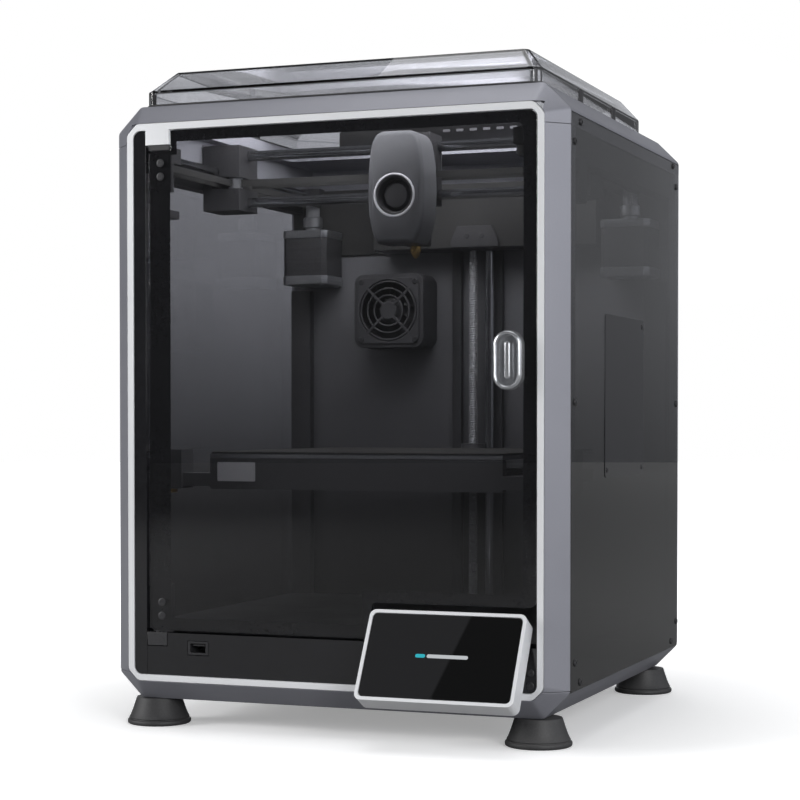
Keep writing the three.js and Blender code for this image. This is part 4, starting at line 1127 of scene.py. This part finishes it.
roundedCopy("bed_carrier_edged", "bed_carrier", 0.0006, finish="carrierBlack")
roundedCopy("heated_bed_edged", "heated_bed", 0.0004)
sheetSet = {"corner": 0.004, "edge": 0.0004}
low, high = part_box("build_plate")
sheet = softPlate(roundedOutline(low.x, high.x, low.y, high.y, sheetSet["corner"], 6), low.z, high.z,
                  sheetSet["edge"], "z")
makePiece("build_plate_sheet", [sheet], "bed", "buildSurface", ("build_plate",), 12)
apronPlate = {"left": -0.111, "right": -0.0795, "low": 0.184, "high": 0.1985, "corner": 0.0008,
              "front": 0.0472, "back": 0.0481, "edge": 0.0002}
apronOutline = roundedOutline(apronPlate["left"], apronPlate["right"], apronPlate["low"], apronPlate["high"],
                              apronPlate["corner"], 4)
makePiece("apron_plate", [softPlate(apronOutline, behind(apronPlate["front"]), behind(apronPlate["back"]),
                                    apronPlate["edge"], "y")], "bed", "paleLabelAndGlint", smoothAngle=12)

# The nut is a profile of (radius, height from the carrier's underside).
screwSet = {"radius": 0.004, "depth": 0.0007, "pitch": 0.002, "plain": 0.006, "threadLow": 0.0745,
            "foot": [(0.0030, 0.0), (0.0034, 0.0005)], "footRadius": 0.0034, "endRadius": 0.0033,
            "endChamfer": 0.0004, "wheelRadius": 0.0072, "wheelLevels": (0.0612, 0.0690), "wheelTeeth": 24,
            "wheelFlange": 0.0008, "nutFront": 0.1776, "nutRear": 0.1756,
            "nut": [(0.0046, -0.0030), (0.0096, -0.0030), (0.0100, -0.0026), (0.0100, -0.0002), (0.0046, 0.0)]}
nuts = []
for place in ("front_left", "front_right", "rear"):
    node = "lead_screw_" + place
    low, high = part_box(node)
    centre, plainLow = middleOf(node, "z"), high.z - screwSet["plain"]
    foot = [(radius, low.z + level) for radius, level in screwSet["foot"]]
    foot.append((screwSet["footRadius"], screwSet["threadLow"]))
    end = [(screwSet["endRadius"], plainLow), (screwSet["endRadius"], high.z - screwSet["endChamfer"]),
           (screwSet["endRadius"] - screwSet["endChamfer"], high.z)]
    makePiece(node + "_threaded", [
        threadShape(centre, screwSet["radius"], screwSet["depth"], screwSet["threadLow"], plainLow,
                    screwSet["pitch"]),
        turnedShape(foot, centre, "z", 32), turnedShape(end, centre, "z", 32),
        beltWheel(centre, screwSet["wheelRadius"], *screwSet["wheelLevels"], screwSet["wheelTeeth"],
                  screwSet["wheelFlange"])], "screw_" + place, "threadSteel", (node,))
    under = screwSet["nutRear" if place == "rear" else "nutFront"]
    nuts.append(turnedShape([(radius, under + level) for radius, level in screwSet["nut"]], centre, "z", 48,
                            closed=True))
makePiece("lead_nuts", nuts, "bed", "nozzleBrass")
print("bed done")

# ---- chamber fan and rear wall

fanLow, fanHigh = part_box("chamber_fan_housing")
fanCentre = middleOf("chamber_fan_housing", "y")
roundedCopy("chamber_fan_housing_edged", "chamber_fan_housing", 0.0012, 3)

# The hub is a profile of (radius, distance behind the housing's face).
fanSet = {
    "root": 0.0106, "tip": 0.0262, "blades": 9, "sweep": 0.62, "depths": (0.0085, 0.0215), "thick": 0.0005,
    "hub": [(0.0003, 0.0052), (0.0080, 0.0054), (0.0104, 0.0062), (0.0112, 0.0076), (0.0112, 0.0230),
            (0.0003, 0.0232)],
    "wire": 0.0009, "rings": (0.0132, 0.0192, 0.0252), "disc": 0.0078, "reach": 0.0292, "stand": 0.0006,
    "plateTrim": 0.0035, "plateCorner": 0.0060, "plateHole": 0.0268, "plateDepths": (-0.0014, 0.0004),
    "screwAt": 0.0250, "screwSize": (0.0026, 0.0009),
}
blades = fanBlades(fanCentre, fanSet["blades"], fanSet["root"], fanSet["tip"], fanSet["sweep"],
                   fanLow.y + fanSet["depths"][0], fanLow.y + fanSet["depths"][1], fanSet["thick"])
hub = turnedShape([(radius, fanLow.y + level) for radius, level in fanSet["hub"]], fanCentre, "y", 64)
makePiece("chamber_fan_bladed", [hub] + blades, "chamber_fan_rotor", "mouldedBlack",
          ("chamber_fan_impeller",))


# Finger guard: round wires joined by four flat arms and a middle disc.
def fanGuard(centre, level, rings, wire, disc, reach, arm=0.0011, armEdge=0.0004, tiny=0.0002):
    shapes = [wireRing(radius, wire, centre, level, "y", 72) for radius in rings]
    shapes.append(turnedShape([(tiny, level - wire), (disc - 0.0006, level - wire), (disc, level - wire * 0.3),
                               (disc, level + wire), (tiny, level + wire)], centre, "y", 48))
    for quarter in range(4):
        turn = math.pi / 4 + quarter * math.pi / 2
        points, faces = softBlock(disc - 0.001, reach, level - wire, level + wire, -arm, arm, armEdge)
        spin = np.array([[math.cos(turn), math.sin(turn)], [-math.sin(turn), math.cos(turn)]])
        flat = points[:, [0, 2]] @ spin + centre
        shapes.append((np.stack([flat[:, 0], points[:, 1], flat[:, 1]], 1), faces))
    return shapes


guard = fanGuard(fanCentre, fanLow.y - fanSet["stand"], fanSet["rings"], fanSet["wire"], fanSet["disc"],
                 fanSet["reach"])
trim, plateFront = fanSet["plateTrim"], fanLow.y + fanSet["plateDepths"][0]
guardHole = unitCircle(72, math.pi / 40)[1] * fanSet["plateHole"] + fanCentre
guard.append(ringShape(roundedOutline(fanLow.x + trim, fanHigh.x - trim, fanLow.z + trim, fanHigh.z - trim,
                                      fanSet["plateCorner"], 17), guardHole, plateFront,
                       fanLow.y + fanSet["plateDepths"][1], "y", 0.0003))
makePiece("chamber_fan_guard", guard, "root", "mouldedBlack")
addScrews("chamber_fan_screws", [(fanCentre[0] + sx * fanSet["screwAt"], fanCentre[1] + sz * fanSet["screwAt"])
                                 for sx in (-1, 1) for sz in (-1, 1)], plateFront, -1, fanSet["screwSize"], "y")

columns = {"outer": (0.1515, 0.1705), "front": 0.3165, "back": 0.3252, "high": 0.3460, "gap": 0.0003,
           "edge": 0.0008, "channels": ((-0.018, -0.0095), (0.0175, 0.028)), "channelFront": 0.3195,
           "channelHigh": 0.3765, "channelEdge": 0.0006}
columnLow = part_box("floor_deck")[1].z + columns["gap"]
columnShapes = twinBlocks(*columns["outer"], (columns["front"], columns["back"]), (columnLow, columns["high"]),
                          columns["edge"])
columnShapes += [softBlock(x0, x1, behind(columns["channelFront"]), behind(columns["back"]), columnLow,
                           columns["channelHigh"], columns["channelEdge"]) for x0, x1 in columns["channels"]]
makePiece("rear_columns", columnShapes, "root", "mouldedBlack")

boxCover = {"depths": (0.3225, 0.3252), "levels": (0.3765, 0.4345), "inner": (-0.0805, 0.1185), "gap": 0.0005,
            "middle": (-0.0798, 0.1178), "middleLevels": (0.3772, 0.4318), "front": 0.0012, "sink": 0.0004}
wallLow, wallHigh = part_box("rear_wall")
coverBlocks = [softBlock(x0, x1, behind(boxCover["depths"][0]), behind(boxCover["depths"][1]),
                         *boxCover["levels"], 0.0006)
               for x0, x1 in ((wallLow.x + boxCover["gap"], boxCover["inner"][0]),
                              (boxCover["inner"][1], wallHigh.x - boxCover["gap"]))]
coverBlocks.append(softBlock(*boxCover["middle"], wallLow.y - boxCover["front"], wallLow.y + boxCover["sink"],
                             *boxCover["middleLevels"], 0.0006))
makePiece("rear_upper_cover", coverBlocks, "root", "beltRubber")
bearingCap = {"outline": [(0.0350, 0.3772), (0.0350, 0.3820), (0.0290, 0.3955), (-0.0020, 0.3955),
                          (-0.0080, 0.3820), (-0.0080, 0.3772)],
              "front": 0.0040, "back": 0.0010, "edge": 0.0008, "screws": [(0.0070, 0.3870), (0.0200, 0.3870)],
              "screwSize": (0.0022, 0.0006)}
capFront = wallLow.y - bearingCap["front"]
cap = [softPlate(np.array(bearingCap["outline"]), capFront, wallLow.y - bearingCap["back"], bearingCap["edge"],
                 "y")]
cap += [screwHead(place, capFront, -1, *bearingCap["screwSize"], "y") for place in bearingCap["screws"]]
makePiece("rear_bearing_cap", cap, "root", "mouldedBlack")

guideRod = {"radius": 0.004, "x": 0.0185, "depth": 0.3135, "low": 0.0745, "high": 0.3765, "chamfer": 0.0006}
slim = guideRod["radius"] - guideRod["chamfer"]
rodProfile = [(slim, guideRod["low"]), (guideRod["radius"], guideRod["low"] + guideRod["chamfer"]),
              (guideRod["radius"], guideRod["high"] - guideRod["chamfer"]), (slim, guideRod["high"])]
makePiece("guide_rods", [turnedShape(rodProfile, (guideRod["x"], behind(guideRod["depth"])), "z", 32)],
          "root", "polishedSteel")
print("chamber done")

# ---- outside of the back and the base

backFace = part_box("rear_panel")[1].y
ventSet = {"rows": 5, "pitch": 0.0075, "slots": 12, "half": 0.00525, "gap": 0.0145, "shift": 0.030,
           "low": 0.088, "halfHeight": 0.0016, "corner": 0.0015, "rim": 0.0008}


# Pill outlines of the vent slots, row by row from the lowest.
def ventOutlines(steps):
    for row in range(ventSet["rows"]):
        for column in range(ventSet["slots"]):
            x = (column - (ventSet["slots"] - 1) / 2) * ventSet["gap"] - ventSet["shift"]
            z = ventSet["low"] + row * ventSet["pitch"]
            yield roundedOutline(x - ventSet["half"], x + ventSet["half"], z - ventSet["halfHeight"],
                                 z + ventSet["halfHeight"], ventSet["corner"], steps)


makePiece("rear_vent_frames", [ringShape(insetOutline(slot, -ventSet["rim"]), slot, backFace - 0.0004,
                                         backFace + 0.0007, "y", 0.0002) for slot in ventOutlines(3)],
          "root", "mouldedBlack")
makePiece("rear_vent_mesh", [softPlate(slot, backFace - 0.0002, backFace + 0.0001, 0.00005, "y", 1)
                             for slot in ventOutlines(2)], "root", "panelBorder")

# Profiles are (radius, distance out from the rear panel's face).
outlet = {"rings": (0.0100, 0.0155, 0.0210, 0.0265), "stand": 0.0010, "wire": 0.0008, "disc": 0.0060,
          "reach": 0.0282, "filter": [(0.0002, -0.0030), (0.0262, -0.0030), (0.0266, -0.0026),
                                      (0.0266, -0.0008), (0.0262, -0.0004), (0.0002, -0.0004)]}
makePiece("rear_outlet_guard", fanGuard(fanCentre, backFace + outlet["stand"], outlet["rings"], outlet["wire"],
                                        outlet["disc"], outlet["reach"]), "root", "blackSteel")
filterDisc = turnedShape([(radius, backFace + level) for radius, level in outlet["filter"]], fanCentre, "y", 64)
makePiece("rear_outlet_filter", [filterDisc], "root", "beltRubber")
rearScrews = {"sideX": 0.153, "levels": (0.050, 0.150, 0.250, 0.350, 0.440), "midX": 0.075,
              "midLevels": (0.041, 0.446), "size": (0.0027, 0.0010)}
places = [(sx * rearScrews["sideX"], z) for sx in (-1, 1) for z in rearScrews["levels"]]
places += [(sx * rearScrews["midX"], z) for sx in (-1, 1) for z in rearScrews["midLevels"]]
addScrews("rear_screws", places, backFace, 1, rearScrews["size"], "y")
fitting = {"place": (0.110, 0.410),
           "profile": [(0.0022, -0.004), (0.0048, -0.004), (0.0048, 0.0002), (0.0074, 0.0003),
                       (0.0078, 0.0008), (0.0078, 0.0034), (0.0072, 0.0040), (0.0050, 0.0042),
                       (0.0048, 0.0084), (0.0042, 0.0090), (0.0022, 0.0090)]}
fittingShape = turnedShape([(radius, backFace + level) for radius, level in fitting["profile"]],
                           fitting["place"], "y", 48, closed=True)
makePiece("filament_fitting", [fittingShape], "root", "mouldedBlack")
roundedCopy("power_inlet_edged", "power_inlet", 0.0006)
roundedCopy("power_rocker_edged", "power_rocker", 0.0004)
inletSet = {"pins": ((-0.007, 0.0015), (0.0, -0.0015), (0.007, 0.0015)), "half": (0.0010, 0.0022),
            "depths": (0.0165, 0.0040), "edge": 0.0005, "screwAt": 0.0200, "screwSize": (0.0026, 0.0008)}
inletX, inletZ = middleOf("power_inlet", "z")[0], middleOf("power_inlet", "x")[1]
halfX, halfZ = inletSet["half"]
pins = [softBlock(inletX + dx - halfX, inletX + dx + halfX, backFace - inletSet["depths"][0],
                  backFace - inletSet["depths"][1], inletZ + dz - halfZ, inletZ + dz + halfZ, inletSet["edge"])
        for dx, dz in inletSet["pins"]]
makePiece("power_inlet_pins", pins, "root", "polishedSteel")
addScrews("power_inlet_screws", [(inletX + sx * inletSet["screwAt"], inletZ) for sx in (-1, 1)],
          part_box("power_inlet")[1].y, 1, inletSet["screwSize"], "y")
baseSet = {"ribs": 14, "left": -0.120, "pitch": 0.010, "width": 0.006, "depths": (0.150, 0.215),
           "half": 0.0006, "edge": 0.0003, "screwX": 0.120, "screwDepths": (0.030, 0.177, 0.324),
           "screwSize": (0.0030, 0.0010)}
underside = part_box("bottom_frame")[0].z
ribX = [baseSet["left"] + k * baseSet["pitch"] for k in range(baseSet["ribs"])]
makePiece("base_vent_ribs", [
    softBlock(x, x + baseSet["width"], behind(baseSet["depths"][0]), behind(baseSet["depths"][1]),
              underside - baseSet["half"], underside + baseSet["half"], baseSet["edge"], "z") for x in ribX],
    "root", "mouldedBlack")
addScrews("base_screws", [(sx * baseSet["screwX"], behind(depth)) for sx in (-1, 1)
                          for depth in baseSet["screwDepths"]], underside, -1, baseSet["screwSize"], "z")
print("back and base done")


# ---- studio

# White all round for the camera. For reflections and light: bright low behind on the left, bright at the
# right, a little from above, and dim elsewhere.
world = bpy.data.worlds.new("studio")
world.use_nodes = True
bpy.context.scene.world = world
worldTree = world.node_tree
background = next(node for node in worldTree.nodes if node.type == "BACKGROUND")
direction = addNode(worldTree, "ShaderNodeTexCoord").outputs["Generated"]
parts = addNode(worldTree, "ShaderNodeSeparateXYZ", Vector=direction)
behindGlow = mapRange(worldTree, parts.outputs["Y"], 0.55, 0.92, 0.0, 1.0)
leftShare = mapRange(worldTree, parts.outputs["X"], -0.20, 0.25, 1.0, 0.12)
upperShare = mapRange(worldTree, parts.outputs["Z"], 0.16, 0.34, 1.0, 0.15)
horizonShare = mapRange(worldTree, parts.outputs["Z"], -0.02, 0.07, 0.35, 1.0)
ahead = maths(worldTree, "MULTIPLY", maths(worldTree, "MULTIPLY", behindGlow, leftShare),
              maths(worldTree, "MULTIPLY", upperShare, horizonShare))
right = mapRange(worldTree, parts.outputs["X"], 0.62, 0.90, 0.0, 1.15)
above = mapRange(worldTree, parts.outputs["Z"], 0.80, 1.0, 0.0, 0.30)
glow = maths(worldTree, "ADD", maths(worldTree, "ADD", maths(worldTree, "ADD", ahead, right), above), 0.10)
seen = addNode(worldTree, "ShaderNodeLightPath").outputs["Is Camera Ray"]
strength = maths(worldTree, "MAXIMUM", glow, seen)
worldTree.links.new(strength, background.inputs["Strength"])
cool = mixColour(worldTree, seen, rgb((0.93, 0.95, 1.0)), rgb((1.0, 1.0, 1.0)))
worldTree.links.new(cool, background.inputs["Color"])

floorRadius = 9.0
angle = np.linspace(0, 2 * math.pi, 96, endpoint=False)
rim = np.stack([floorRadius * np.cos(angle), floorRadius * np.sin(angle), np.zeros(96)], 1)
floorMesh = bpy.data.meshes.new("floor")
floorMesh.from_pydata(rim.tolist(), [], [list(range(96))])
floorMesh.materials.append(finishes["floorStudio"])
floor = bpy.data.objects.new("floor", floorMesh)
bpy.context.scene.collection.objects.link(floor)
